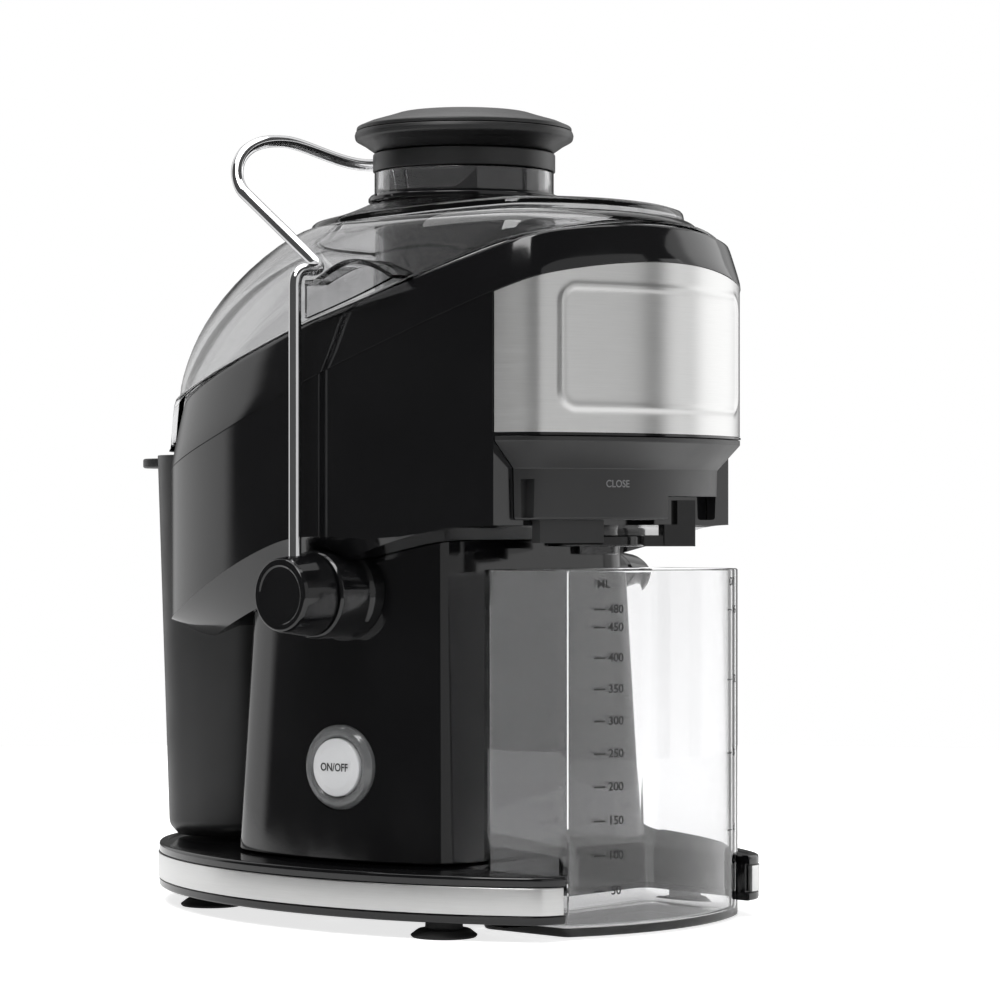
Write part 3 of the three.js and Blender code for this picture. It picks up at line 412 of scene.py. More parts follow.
def soften(obj, width=0.6, segments=3, angle=38):
    """Rounds the piece's sharp edges, as a mould would."""
    with editing(obj.data) as work:
        bmesh.ops.dissolve_degenerate(work, dist=2e-6, edges=work.edges)
        bmesh.ops.dissolve_limit(
            work, angle_limit=math.radians(0.05), verts=work.verts, edges=work.edges, delimit={"SHARP"}
        )
    edges = bevel(obj, width, segments, angle)
    edges.use_clamp_overlap = True
    edges.miter_outer = "MITER_ARC"
    bake(obj, 50)
    with editing(obj.data) as work:
        loose = [edge for edge in work.edges if not edge.link_faces]
        bmesh.ops.delete(work, geom=loose, context="EDGES")
    normals = obj.modifiers.new("normals", "WEIGHTED_NORMAL")
    normals.keep_sharp = True
    normals.weight = 60
    return obj


def join(name, pieces):
    """One mesh from several, shaded as one."""
    mesh = bpy.data.meshes.new(name)
    with editing(mesh) as work:
        for piece in pieces:
            work.from_mesh(piece.data)
            bpy.data.objects.remove(piece)
    obj = add_object(name, mesh)
    shade(obj)
    return obj


def settle(obj, material, body, *nodes, slot=None):
    """Gives a finished piece its material, its body and the CAD nodes that it stands for.

    slot is not used.
    """
    obj.data.materials.clear()
    obj.data.materials.append(material)
    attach(obj, body)
    if nodes:
        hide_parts(*nodes)


def turn_piece(name, profile, steps, material, body, node, segments=ROUND):
    """A finished piece turned about the machine axis from (radius, z, corner radius) points."""
    settle(revolve(name, fillet(profile, steps), segments), material, body, node)


# ---- materials
# How many cells of each noise lie along a metre, and how deep each relief is, in metres.
NOISE = Sizes(tone=18, smear=35, haze=9, scuff=60, flow=26)
DEPTH = Sizes(grain=0.00012, line=0.00006, flow=0.0004)


def add_node(tree, kind, inputs, **settings):
    """A new shader node. An input is given its value, or the socket that is linked to it."""
    node = tree.nodes.new("ShaderNode" + kind)
    for key, value in settings.items():
        setattr(node, key, value)
    for socket, value in inputs.items():
        if isinstance(value, bpy.types.NodeSocket):
            tree.links.new(value, node.inputs[socket])
        else:
            node.inputs[socket].default_value = value
    return node


def new_material(name):
    material = bpy.data.materials.new(name)
    material.use_nodes = True
    return material, material.node_tree, material.node_tree.nodes["Principled BSDF"]


def object_noise(tree, scale, detail=3.0, stretch=(1, 1, 1), roughness=0.55):
    place = add_node(tree, "TexCoord", {}).outputs["Object"]
    mapping = add_node(tree, "Mapping", {"Vector": place, "Scale": stretch})
    noise = {"Vector": mapping.outputs["Vector"], "Scale": scale, "Detail": detail, "Roughness": roughness}
    return add_node(tree, "TexNoise", noise).outputs["Fac"]


def spread(tree, source, low, high):
    """Spreads the middle of a noise's range over values from low to high."""
    limits = {"Value": source, "From Min": 0.35, "From Max": 0.65, "To Min": low, "To Max": high}
    return add_node(tree, "MapRange", limits).outputs["Result"]


def tint(tree, source, dark, light):
    node = add_node(tree, "ValToRGB", {"Fac": source})
    for stop, position, colour in zip(node.color_ramp.elements, (0.3, 0.7), (dark, light)):
        stop.position = position
        stop.color = (*colour, 1)
    return node.outputs["Color"]


def relief(tree, shader, source, strength, distance):
    bump = add_node(tree, "Bump", {"Height": source, "Strength": strength, "Distance": distance})
    tree.links.new(bump.outputs["Normal"], shader.inputs["Normal"])


def plastic(name, dark, light, rough, grain_scale, grain):
    """Moulded plastic: its tone drifts a little, faint smears break its gloss, and its skin has grain."""
    material, tree, shader = new_material(name)
    tree.links.new(tint(tree, object_noise(tree, NOISE.tone), dark, light), shader.inputs["Base Color"])
    tree.links.new(spread(tree, object_noise(tree, NOISE.smear, 5), *rough), shader.inputs["Roughness"])
    relief(tree, shader, object_noise(tree, grain_scale, 2), grain, DEPTH.grain)
    return material


def metal(name, dark, light, rough, stretch, line_scale, line_strength, anisotropy=0.0):
    """Bare metal with fine lines, which run along the axes with the smallest stretch."""
    material, tree, shader = new_material(name)
    lines = object_noise(tree, line_scale, 4, stretch, 0.7)
    tree.links.new(tint(tree, lines, dark, light), shader.inputs["Base Color"])
    tree.links.new(spread(tree, lines, *rough), shader.inputs["Roughness"])
    shader.inputs["Metallic"].default_value = 1
    shader.inputs["Anisotropic"].default_value = anisotropy
    shader.inputs["Anisotropic Rotation"].default_value = 0.25
    relief(tree, shader, lines, line_strength, DEPTH.line)
    return material


def clear_plastic(name, dark, light, rough, density, transmission=1.0):
    """Clear moulded plastic: a faint tint that drifts, flow marks and scuffs; it darkens with thickness."""
    material, tree, shader = new_material(name)
    tree.links.new(tint(tree, object_noise(tree, NOISE.haze, 2), dark, light), shader.inputs["Base Color"])
    tree.links.new(spread(tree, object_noise(tree, NOISE.scuff, 6), *rough), shader.inputs["Roughness"])
    relief(tree, shader, object_noise(tree, NOISE.flow, 1), 0.05, DEPTH.flow)
    shader.inputs["Transmission Weight"].default_value = transmission
    shader.inputs["IOR"].default_value = 1.49
    depth = add_node(tree, "VolumeAbsorption", {"Color": (0.0, 0.0, 0.0, 1), "Density": density})
    tree.links.new(depth.outputs["Volume"], tree.nodes["Material Output"].inputs["Volume"])
    return material


GLOSS_BLACK = plastic(
    "gloss_black", (0.0035, 0.0035, 0.004), (0.006, 0.006, 0.0065), (0.05, 0.11), 900, 0.02
)
SATIN_BLACK = plastic(
    "satin_black", (0.011, 0.011, 0.0115), (0.018, 0.018, 0.0185), (0.36, 0.46), 2600, 0.25
)
RUBBER = plastic("rubber", (0.01, 0.01, 0.01), (0.022, 0.022, 0.022), (0.65, 0.85), 1500, 0.5)
BUTTON_SILVER = plastic("button_silver", (0.66, 0.67, 0.68), (0.74, 0.74, 0.75), (0.3, 0.38), 3000, 0.15)
INK = plastic("ink", (0.012, 0.012, 0.013), (0.02, 0.02, 0.02), (0.45, 0.6), 4000, 0.1)
PALE_INK = plastic("pale_ink", (0.17, 0.17, 0.175), (0.21, 0.21, 0.215), (0.45, 0.6), 4000, 0.1)
STEEL = metal(
    "brushed_steel", (0.58, 0.58, 0.575), (0.63, 0.63, 0.625), (0.28, 0.34), (1, 1, 60), 60, 0.05, 0.7
)
ZINC = metal("zinc", (0.38, 0.38, 0.39), (0.56, 0.56, 0.57), (0.28, 0.42), (1, 1, 6), 180, 0.2)
LAMINATION = metal("lamination", (0.14, 0.14, 0.15), (0.34, 0.34, 0.36), (0.4, 0.6), (0.2, 0.2, 40), 45, 0.6)
MESH_STEEL = metal("mesh_steel", (0.46, 0.46, 0.47), (0.66, 0.66, 0.67), (0.22, 0.36), (6, 6, 1), 120, 0.2)
COPPER = metal("copper", (0.42, 0.17, 0.07), (0.72, 0.34, 0.17), (0.3, 0.5), (1, 1, 30), 60, 0.5)
CHROME = metal("chrome", (0.76, 0.76, 0.77), (0.82, 0.82, 0.83), (0.04, 0.09), (1, 1, 1), 60, 0.02)
LID_SMOKE = clear_plastic("lid_smoke", (0.9, 0.9, 0.905), (0.94, 0.94, 0.945), (0.0, 0.03), 95)
BOWL_SMOKE = clear_plastic("bowl_smoke", (0.55, 0.55, 0.555), (0.62, 0.62, 0.625), (0.05, 0.12), 200)
CUP_CLEAR = clear_plastic("cup_clear", (0.93, 0.93, 0.935), (0.96, 0.96, 0.965), (0.0, 0.02), 80)
BEZEL_SMOKE = clear_plastic("bezel_smoke", (0.62, 0.63, 0.64), (0.7, 0.71, 0.72), (0.1, 0.2), 150, 0.8)


# ---- base
def recess_cutter(margin):
    """The bay in the base's front edge that the cup stands in, grown by margin."""
    half = RECESS.half_width + margin
    rear, radius = RECESS.rear_y + margin, RECESS.radius
    outline = np.vstack([
        [(-half, -FAR), (half, -FAR)],
        arc(half - radius, rear - radius, radius, 0, math.pi / 2, 10),
        arc(radius - half, rear - radius, radius, math.pi / 2, math.pi, 10),
    ])
    return loft("cutter", [lift(outline, -FAR), lift(outline, FAR)], caps="ngon")


def oval_loft(name, shape, section, looped=False):
    """An oval piece whose outline is inset along its height by the section's [inset, z] points."""
    return loft(name, [lift(oval(shape, inset), z) for inset, z in section], looped)


def build_base():
    groove_low, groove_high = BAND_Z[0] - 0.4, BAND_Z[1] + 0.4
    plate = oval_loft("base_shell", BASE_OVAL, fillet([
        (6, LIP_Z + 3.3, 0), (6, LIP_Z, 0), (0, LIP_Z, 1.2), (0, groove_low, 0.3), (2, groove_low, 0),
        (2, groove_high, 0), (0, groove_high, 0.3), (0, DECK_Z, 1.4), (3.4, DECK_Z, 0.3),
        (3.9, DECK_Z - 0.5, 0),
    ], 4))
    hollow = oval_loft("cutter", BASE_OVAL, [(6, LIP_Z - 1), (6, DECK_Z - 3)])
    boolean(hollow, "DIFFERENCE", recess_cutter(4))
    boolean(plate, "DIFFERENCE", hollow, recess_cutter(0))
    inner, outer, low, high = SCREW.pilot, SCREW.boss, SCREW.boss_foot_z, DECK_Z - 2
    for x, y in SCREW_SPOTS:
        boss = revolve("boss", [(inner, low), (outer, low), (outer, high), (inner, high)], 32)
        boolean(plate, "UNION", move(boss, shift(x, y, 0)))
    soften(plate, 0.5, 2, 50)
    settle(plate, GLOSS_BLACK, "machine", "base_plate")

    low, high = BAND_Z
    band_section = fillet([(1.6, low, 0), (-0.3, low, 0.3), (-0.3, high, 0.3), (1.6, high, 0)], 3)
    band = oval_loft("steel_band", BASE_OVAL, band_section, looped=True)
    boolean(band, "DIFFERENCE", recess_cutter(1.5))
    settle(band, STEEL, "machine", "base_band")

    cover = oval_loft("underside_cover", BASE_OVAL, [(6.3, 9.5), (6.3, 7.5), (6.8, 7)])
    boolean(cover, "DIFFERENCE", recess_cutter(4.3))
    vents = []
    for row in range(VENT.count):
        start = VENT.first_y + VENT.pitch * row
        length = (-VENT.half_length, VENT.half_length)
        vents.append(cutting_block(x=length, y=(start, start + VENT.width), z=(0, VENT.top_z)))
    boolean(cover, "DIFFERENCE", join("cutter", vents))
    for x, y in SCREW_SPOTS:
        boolean(cover, "DIFFERENCE", move(cutting_rod(SCREW.hole, 0, DECK_Z, 32), shift(x, y, 0)))
    soften(cover, 0.35, 2, 50)
    settle(cover, SATIN_BLACK, "machine", "bottom_cover")

    foot_section = fillet([
        (0, 0, 0), (11.7, 0, 0), (12.5, 0.8, 0.5), (9.6, 3, 1.6), (7, 3.2, 0.9), (6.8, 6.7, 0), (0, 6.7, 0),
    ])
    for index, (x, y) in enumerate(FOOT_SPOTS, 1):
        foot = move(revolve(f"rubber_foot_{index}", foot_section, 64), shift(x, y, 0))
        settle(foot, RUBBER, "machine", f"foot_{index}")


# ---- bowl housing, front panel and spout collar
def bowl_block(drop=0.0, inset=0.0):
    """The bowl housing's outer shape, lowered by drop and moved inwards by inset."""
    outer, inner = oval(BOWL_OVAL, inset), oval(BOWL_OVAL, inset + CHAMFER.inset)
    y = outer[:, 1]
    foot = outer + (inner - outer) * chamfer_at(y)[:, None]
    edge_z = under_z(y) + CHAMFER.edge + chamfer_height(y)
    rings = [lift(foot, under_z(y) - drop), lift(outer, edge_z - drop), lift(outer, seam_z(y) - drop)]
    return loft("bowl_shell", rings)


def bowl_cavity():
    inner, foot = oval(BOWL_OVAL, BOWL_WALL), oval(BOWL_OVAL, BOWL_WALL + CHAMFER.inset)
    y = inner[:, 1]
    floor_z = under_z(y) + BOWL_WALL
    edge_z = floor_z + 3 + chamfer_height(y)
    return loft("cutter", [lift(foot, floor_z + 1), lift(inner, edge_z), lift(inner, seam_z(y) + 5)])


def pulp_pocket():
    """The room for the pulp container, open to the rear."""
    half = PULP.half_width + PULP_CLEARANCE
    return cutting_block(x=(-half, half), y=(PULP.centre_y - PULP.half_depth - PULP_CLEARANCE, FAR))


def spout_window():
    return cutting_block(x=WINDOW_X, y=(-FAR, NOSE.rear_y), z=(140, SPOUT.tab_top_z + 1.5))


def panel_recess():
    """The shallow seat in the bowl housing that the steel panel lies in."""
    low, depth = PANEL.bottom_z - GAP, PANEL.thickness + GAP
    seat = oval_loft("cutter", BOWL_OVAL, [(-5, low), (-5, 300), (depth, 300), (depth, low)], looped=True)
    return boolean(seat, "DIFFERENCE", cutting_block(y=(PANEL.rear_y + GAP, FAR)))


def build_bowl_housing():
    shell = bowl_block()
    nose_front, nose_top = (-FAR, NOSE.rear_y + BOWL_WALL), (-FAR, NOSE.cone_top_z + BOWL_WALL)
    cavity = boolean(bowl_cavity(), "DIFFERENCE", cutting_block(y=nose_front, z=nose_top))
    boolean(
        shell, "DIFFERENCE", cavity, panel_recess(),
        cutting_block(y=(-FAR, NOSE.rear_y), z=(-FAR, NOSE.cone_top_z)),
        spout_window(), pulp_pocket(), cutting_rod(HUB_HOLE_RADIUS, 100, 170),
        move(cutting_rod(SPOUT.bore, 140, 156), shift(0, SPOUT.y, 0)),
    )
    soften(shell, 0.7, 3, 34)
    settle(shell, GLOSS_BLACK, "machine", "bowl_housing")


def panel_emboss(along, height):
    """How far the panel's pressed frame stands out: a rounded rectangle's ridge."""
    corner = EMBOSS.corner
    dx = np.abs(along) - (EMBOSS.half_length - corner)
    dz = np.abs(height - EMBOSS.centre_z) - (EMBOSS.half_height - corner)
    outside = np.hypot(np.maximum(dx, 0), np.maximum(dz, 0)) + np.minimum(np.maximum(dx, dz), 0) - corner
    ridge = EMBOSS.ridge * np.exp(-(outside / EMBOSS.width) ** 2)
    return ridge + EMBOSS.field * smoothstep(-outside / (2 * EMBOSS.width))


def build_front_panel():
    """The steel panel, as rings round its front and back, one above the other."""
    outline = np.roll(oval(BOWL_OVAL, 0, FINE_OUTLINE_POINTS), FINE_OUTLINE_POINTS // 2, axis=0)
    keep = outline[outline[:, 1] <= PANEL.rear_y]
    steps = np.concatenate([[0], np.cumsum(np.hypot(*np.diff(keep, axis=0).T))])
    along = np.linspace(0, steps[-1], 260)
    x, y = np.interp(along, steps, keep[:, 0]), np.interp(along, steps, keep[:, 1])
    face = np.column_stack([x, y])
    normal = np.column_stack([np.gradient(y, along), -np.gradient(x, along)])
    along = along - along[-1] / 2
    rings = []
    for t in np.linspace(0, 1, 91):
        z = PANEL.bottom_z + (seam_z(y) - PANEL.bottom_z) * t
        proud = np.minimum(panel_emboss(along, z), 0.8) - 0.35
        front, back = face + normal * proud[:, None], face - normal * PANEL.thickness
        rings.append(np.vstack([lift(front, z), lift(back, z)[::-1]]))
    settle(loft("steel_front", rings), STEEL, "machine", "front_panel")


def build_spout_collar():
    inset, low, cone_low, top = NOSE.inset, NOSE.bottom_z, NOSE.cone_bottom_z, NOSE.cone_top_z
    nose = oval_loft("nose_collar", BOWL_OVAL, fillet([
        (24, low, 0), (inset + 0.5, low, 1.2), (inset, cone_low, 0.8), (GAP, top - 2.2, 0.8),
        (GAP, top - GAP, 0.4), (16, top - GAP, 0),
    ]))
    skirt_inset = SKIRT.inset
    skirt = oval_loft("skirt", BOWL_OVAL, [(skirt_inset, SKIRT.bottom_z), (skirt_inset, low + 1)])
    boolean(skirt, "INTERSECT", cutting_block(x=SKIRT.x, y=(-FAR, 0)))
    boolean(nose, "UNION", skirt)
    behind = cutting_block(y=(NOSE.rear_y - GAP, FAR))
    boolean(nose, "DIFFERENCE", cutting_block(**vars(COLLAR_SLOT)), behind, spout_window())
    soften(nose, 0.6, 3, 45)
    settle(nose, SATIN_BLACK, "machine", "spout_collar")


def build_spout():
    radius, low, high, foot = SPOUT.disc_radius, SPOUT.bottom_z, SPOUT.top_z, SPOUT.nozzle_z
    section = fillet([(0, low, 0), (radius, low, 0.8), (radius, high, 0.8), (0, high, 0)], 4)
    disc = revolve("spout_piece", section)
    tip, wide = LEVER.tip, (-LEVER.half_width, LEVER.half_width)
    narrow = (1 - LEVER.half_width, LEVER.half_width - 1)
    lever = boolean(
        block("arm", (0, tip - 2), narrow, (low, high)), "UNION",
        block("foot", (LEVER.foot_start, tip), wide, (low, LEVER.foot_top_z)),
        block("tab", (LEVER.tab_start, tip), wide, (low, SPOUT.tab_top_z)),
    )
    move(lever, Matrix.Rotation(math.radians(-SPOUT.lever_turn), 4, "Z"))
    section = fillet([(0, foot, 0), (9, foot, 0.6), (9.6, high - 1, 0.3), (0, high - 1, 0)], 4)
    boolean(disc, "UNION", lever, revolve("nozzle", section))
    boolean(disc, "DIFFERENCE", cutting_rod(SPOUT.bore, 130, 160))
    move(disc, shift(0, SPOUT.y, 0))
    soften(disc, 0.5, 2, 45)
    settle(disc, GLOSS_BLACK, "spout", "flow_spout")


# ---- motor housing and button
def motor_lean(z):
    """How far the motor housing's wall leans in at height z."""
    return MOTOR_TAPER * (z - DECK_Z) / (MOTOR_TOP_Z - DECK_Z)


def motor_block(inset, z0, z1, lower_round=0.0):
    """The motor housing's outer shape between two heights, with its lower edge rounded."""
    section = [(inset + motor_lean(z0) + lower_round, z0)]
    if lower_round:
        section.append((inset + motor_lean(z0) + 0.3 * lower_round, z0 + 0.3 * lower_round))
        section.append((inset + motor_lean(z0 + lower_round), z0 + lower_round))
    section.append((inset + motor_lean(z1), z1))
    return oval_loft("motor_shell", MOTOR_OVAL, section)


def button_matrix():
    """Turns a piece built about +Z, with +Z out of the wall, and sets it at the button."""
    lean = motor_lean(BUTTON.z)
    a, b = MOTOR_OVAL.half_width - lean, MOTOR_OVAL.half_length - lean
    offset = BUTTON.y - MOTOR_OVAL.centre_y
    x = -a * math.sqrt(1 - (offset / b) ** 2)
    turn = math.atan2(offset / (b * b), x / (a * a)) + math.pi
    facing = Matrix.Rotation(turn, 4, "Z") @ Matrix.Rotation(-math.pi / 2, 4, "Y")
    return shift(x, BUTTON.y, BUTTON.z) @ facing


def build_motor_housing():
    shell = motor_block(0, DECK_Z + GAP, MOTOR_TOP_Z, 0.8)
    button_hole = move(cutting_rod(BUTTON.bezel + GAP, -15, 15), button_matrix())
    gland_place = shift(0, MOTOR_OVAL.rear, GLAND.z) @ Matrix.Rotation(math.pi / 2, 4, "X")
    gland_hole = move(cutting_rod(GLAND.hole, -10, 10, 48), gland_place)
    pivot_holes = [along_x(cutting_rod(PIVOT.hole, 30, 90, 48), sign) for sign in (-1, 1)]
    boolean(
        shell, "DIFFERENCE", motor_block(3, DECK_Z - 1, MOTOR_TOP_Z + 1), bowl_block(GAP, -GAP),
        cutting_block(z=(FLOOR_FRONT_Z - GAP, FAR)), pulp_pocket(), button_hole, gland_hole, *pivot_holes,
    )
    soften(shell, 0.6, 3, 40)
    settle(shell, GLOSS_BLACK, "machine", "motor_housing")

    inner, outer, cap_radius = BUTTON.radius + GAP, BUTTON.bezel, BUTTON.radius
    bezel = revolve("button_ring", fillet([
        (inner, 1, 0), (inner, -5, 0), (outer, -5, 0), (outer, 0.4, 0.5), (outer - 1.4, 1.9, 0.9),
        (inner + 1.3, 1.9, 0.5), (inner, 1, 0),
    ]))
    settle(move(bezel, button_matrix()), BEZEL_SMOKE, "machine", "button_bezel")
    cap = revolve("push_button", fillet([
        (0, -5, 0), (cap_radius, -5, 0), (cap_radius, 2.4, 0.7), (8, 3.1, 3), (0, BUTTON.face, 0),
    ], 6))
    settle(move(cap, button_matrix()), BUTTON_SILVER, "button", "power_button")


# ---- lid
def lid_foot_z(y):
    drop = smoothstep((y - LID_REAR.y) / LID_REAR.run)
    return (band_z(y) + GAP) * (1 - drop) + LID_REAR.z * drop


def lid_profile(inset):
    """Rings of the lid's surface: an upright rim, the dome, then a raised roof that climbs to the chute."""
    outline = oval(LID_OVAL, inset)
    x, y = outline.T
    angle = round_angles(len(outline))
    foot = lid_foot_z(y)
    frontness = smoothstep((20 - y) / 110)[:, None]
    base = oval(LID_OVAL, inset + 2) * (1 - frontness) + oval(LID_OVAL, inset + 8) * frontness
    circle = (ROOF.radius - inset) * outline / np.hypot(x, y)[:, None]
    nose = oval(LID_OVAL, inset + ROOF.front_inset)
    turn = smoothstep((-np.sin(np.arctan2(y, x)) + 0.15) / 0.75)[:, None]
    roof = circle * (1 - turn) + nose * turn
    top = LID_TOP.radius * np.column_stack([np.cos(angle), np.sin(angle)])
    roof_span = (ROOF.front_y, ROOF.rear_y)
    roof_foot = np.interp(roof[:, 1], roof_span, ROOF.foot_z) - inset
    start = foot + RIM_HEIGHT + 0.6
    rings = [
        (outline, foot), (outline, foot + RIM_HEIGHT - 0.8), (outline * 0.998, foot + RIM_HEIGHT - 0.2),
        (outline * 0.6 + base * 0.4, foot + RIM_HEIGHT + 0.1), (base, start),
    ]
    for t in (0.012, 0.03, 0.055, 0.09, 0.13, 0.18, 0.24, 0.31, 0.39, 0.48, 0.58, 0.68, 0.78, 0.88, 0.95):
        rise = (1 - (1 - t) ** 1.63) ** 0.6
        rings.append((base + (roof - base) * t, start + (roof_foot - start) * rise))
    edge = np.interp(roof[:, 1], roof_span, ROOF.edge_z) - inset
    step = edge - roof_foot
    for inwards, up in ((0, 0), (0.15, 0.35), (0.4, 0.7), (1.0, 0.92), (2.2, 1.05)):
        edge_ring = roof * (1 - inwards / ROOF.radius)
        edge_top = roof_foot + step * up
        rings.append((edge_ring, edge_top))
    climb = LID_TOP.z - inset - edge_top
    for t in (0.15, 0.3, 0.45, 0.6, 0.75, 0.88, 1):
        rings.append((edge_ring + (top - edge_ring) * t, edge_top + climb * t ** 1.15))
    return [lift(flat, z) for flat, z in rings]


def build_lid():
    lid = loft("clear_lid", lid_profile(0) + lid_profile(LID_WALL)[::-1], looped=True)
    along = np.linspace(LEDGE.front, LEDGE.rear, 25)
    arch = np.minimum(1, (along - LEDGE.front) / (LEDGE.arch_rear - LEDGE.front))
    crown = LEDGE.rest_z + (LEDGE.crown_z - LEDGE.rest_z) * np.sin(math.pi * arch)
    foot = band_z(along) + 2 * GAP
    profile = np.vstack([np.column_stack([along, foot]), np.column_stack([along, crown])[::-1]])
    lowered = np.vstack([np.column_stack([along, foot - 6]), np.column_stack([along, crown - 2])[::-1]])
    inner, outer = LEDGE.inner, LEDGE.outer
    for sign in (-1, 1):
        ledge = loft("ledge", [across(profile, sign * x) for x in (inner, outer)])
        pocket = loft("cutter", [across(lowered, sign * x) for x in (inner - 4, outer - 2)])
        core = loft("cutter", lid_profile(LID_WALL))
        boolean(lid, "UNION", boolean(ledge, "DIFFERENCE", core, pocket))
    soften(lid, 0.45, 2, 50)
    settle(lid, LID_SMOKE, "machine", "lid")


def build_lid_frame():
    """The gloss band under the lid; its outer wall leans in towards the lid."""
    def leaned(t):
        return lambda y: seam_z(y) + GAP + (band_z(y) - seam_z(y) - GAP) * t

    section = [
        (0.0, leaned(0.0)), (0.25, leaned(0.1)), (0.9, leaned(0.25)), (1.9, leaned(0.45)),
        (3.1, leaned(0.68)), (4.3, leaned(0.9)), (BAND_LEAN - 0.2, leaned(0.97)),
        (BAND_LEAN + 0.6, band_z), (11, band_z), (11, lambda y: band_z(y) - 3),
        (BAND_LEAN + 3, lambda y: band_z(y) - 4), (3, leaned(0.0)),
    ]
    band = oval_loft("lid_band", BOWL_OVAL, section, looped=True)
    boolean(band, "DIFFERENCE", pulp_pocket(), cutting_block(x=(-58, 58), y=(98, FAR)))
    soften(band, 0.4, 2, 50)
    settle(band, GLOSS_BLACK, "machine", "lid_frame")


def build_chute():
    inner, outer, low, high = CHUTE.inner, CHUTE.outer, CHUTE.bottom_z, CHUTE.top_z
    turn_piece("clear_chute", [
        (inner, low, 0), (outer, low, 0), (outer, high, 0.5), (inner, high, 0.5), (inner, low, 0),
    ], 3, LID_SMOKE, "machine", "feed_chute")
    z, inner, outer = LID_TOP.z + 0.5, outer + GAP, CHUTE.ring_radius
    turn_piece("chute_skirt", [
        (inner, z + 2.5, 0), (inner, z, 0), (outer, z, 0.3), (outer, z + 1.3, 0.6),
        (outer - 1, z + 2.5, 0.6), (inner, z + 2.5, 0),
    ], 4, GLOSS_BLACK, "machine", "chute_ring")
    low, high = CHUTE.top_z + GAP, PUSHER.rim_z - 0.1
    turn_piece("chute_rim", [
        (32.4, high, 0), (32.4, low, 0), (35.8, low, 0.5), (35.8, high, 0.8), (32.4, high, 0),
    ], 4, SATIN_BLACK, "machine", "chute_collar")


def build_pusher():
    outer, low, high = PUSHER.radius, PUSHER.bottom_z, PUSHER.rim_z
    inner, floor = outer - PUSHER.wall, low + PUSHER.wall
    turn_piece("pusher_cup", [
        (0, low, 0), (outer, low, 2), (outer, high, 0), (inner, high, 0), (inner, floor, 1.5), (0, floor, 0),
    ], 5, GLOSS_BLACK, "pusher", "pusher_body")
    foot, seam, top_z = PUSHER.foot_z, PUSHER.seam_z, PUSHER.top_z
    turn_piece("pusher_saucer", [
        (0, foot, 0), (34.8, foot, 0.8), (39.2, foot + 3.1, 6), (42.7, seam - 3.2, 1.6), (43, seam - 1.4, 1),
        (42.6, seam, 0.4), (0, seam, 0),
    ], 6, SATIN_BLACK, "pusher", "pusher_cap")
    turn_piece("pusher_disc", [
        (0, seam + GAP, 0), (42.3, seam + GAP, 0.3), (42.2, seam + 1.8, 1.2), (37.5, seam + 3.8, 4),
        (31, seam + 5.7, 3), (26, top_z - 0.6, 6), (0, top_z, 0),
    ], 6, SATIN_BLACK, "pusher", "pusher_top")


# ---- bail
def bail_points():
    leg_x, hook_x, hook_z, bend = BAIL.leg_x, BAIL.hook_x, BAIL.hook_z, BAIL.bend
    top_x, top_y, top_z, dip_z = BAIL.top_x, BAIL.top_y, BAIL.top_z, BAIL.dip_z
    hook = np.array([hook_x, 0, hook_z], float)
    ramp_end = np.array([top_x, 0.86 * top_y, hook_z + 0.59 * (top_z - hook_z)])
    rise = (ramp_end - hook) / np.linalg.norm(ramp_end - hook)
    crown = np.array([top_x - 29.3, top_y, top_z])
    corner = [ramp_end, (top_x + 1, top_y - 1, top_z - 16.4), (top_x - 1.5, top_y, top_z), crown]
    half = np.vstack([
        bezier([(leg_x, 0, PIVOT.z + 3), (leg_x, 0, hook_z - bend)], 12)[:-1],
        bezier([(leg_x, 0, hook_z - bend), (leg_x, 0, hook_z), (leg_x - bend, 0, hook_z)], 12)[:-1],
        bezier([(leg_x - bend, 0, hook_z), (hook_x + bend, 0, hook_z)], 4)[:-1],
        bezier([(hook_x + bend, 0, hook_z), hook, hook + rise * bend], 12)[:-1],
        bezier([hook + rise * bend, ramp_end], 10)[:-1],
        bezier(corner, 28)[:-1],
        bezier([crown, crown - (11, 0, 0), (15, top_y, dip_z), (0, top_y, dip_z)], 20),
    ])
    mirrored = half[::-1][1:] * np.array([-1, 1, 1])
    return np.vstack([half, mirrored])


def mesh_of_curve(curve):
    """A curve's own mesh. The curve's object is only there to make it."""
    source = add_object(curve.name, curve)
    mesh = evaluated_mesh(source)
    bpy.data.objects.remove(source)
    return mesh


def wire_along(name, points, radius, sides=24):
    """A round wire along points, with flat ends."""
    curve = bpy.data.curves.new(name, "CURVE")
    curve.dimensions = "3D"
    curve.bevel_depth = radius * MM
    curve.bevel_resolution = sides // 4
    curve.use_fill_caps = True
    spline = curve.splines.new("POLY")
    placed = to_frame(points)
    spline.points.add(len(placed) - 1)
    for point, place in zip(spline.points, placed):
        point.co = (*place, 1)
    mesh = mesh_of_curve(curve)
    with editing(mesh) as work:
        bmesh.ops.remove_doubles(work, verts=work.verts, dist=1e-6)
    obj = add_object(name, mesh)
    shade(obj)
    return obj


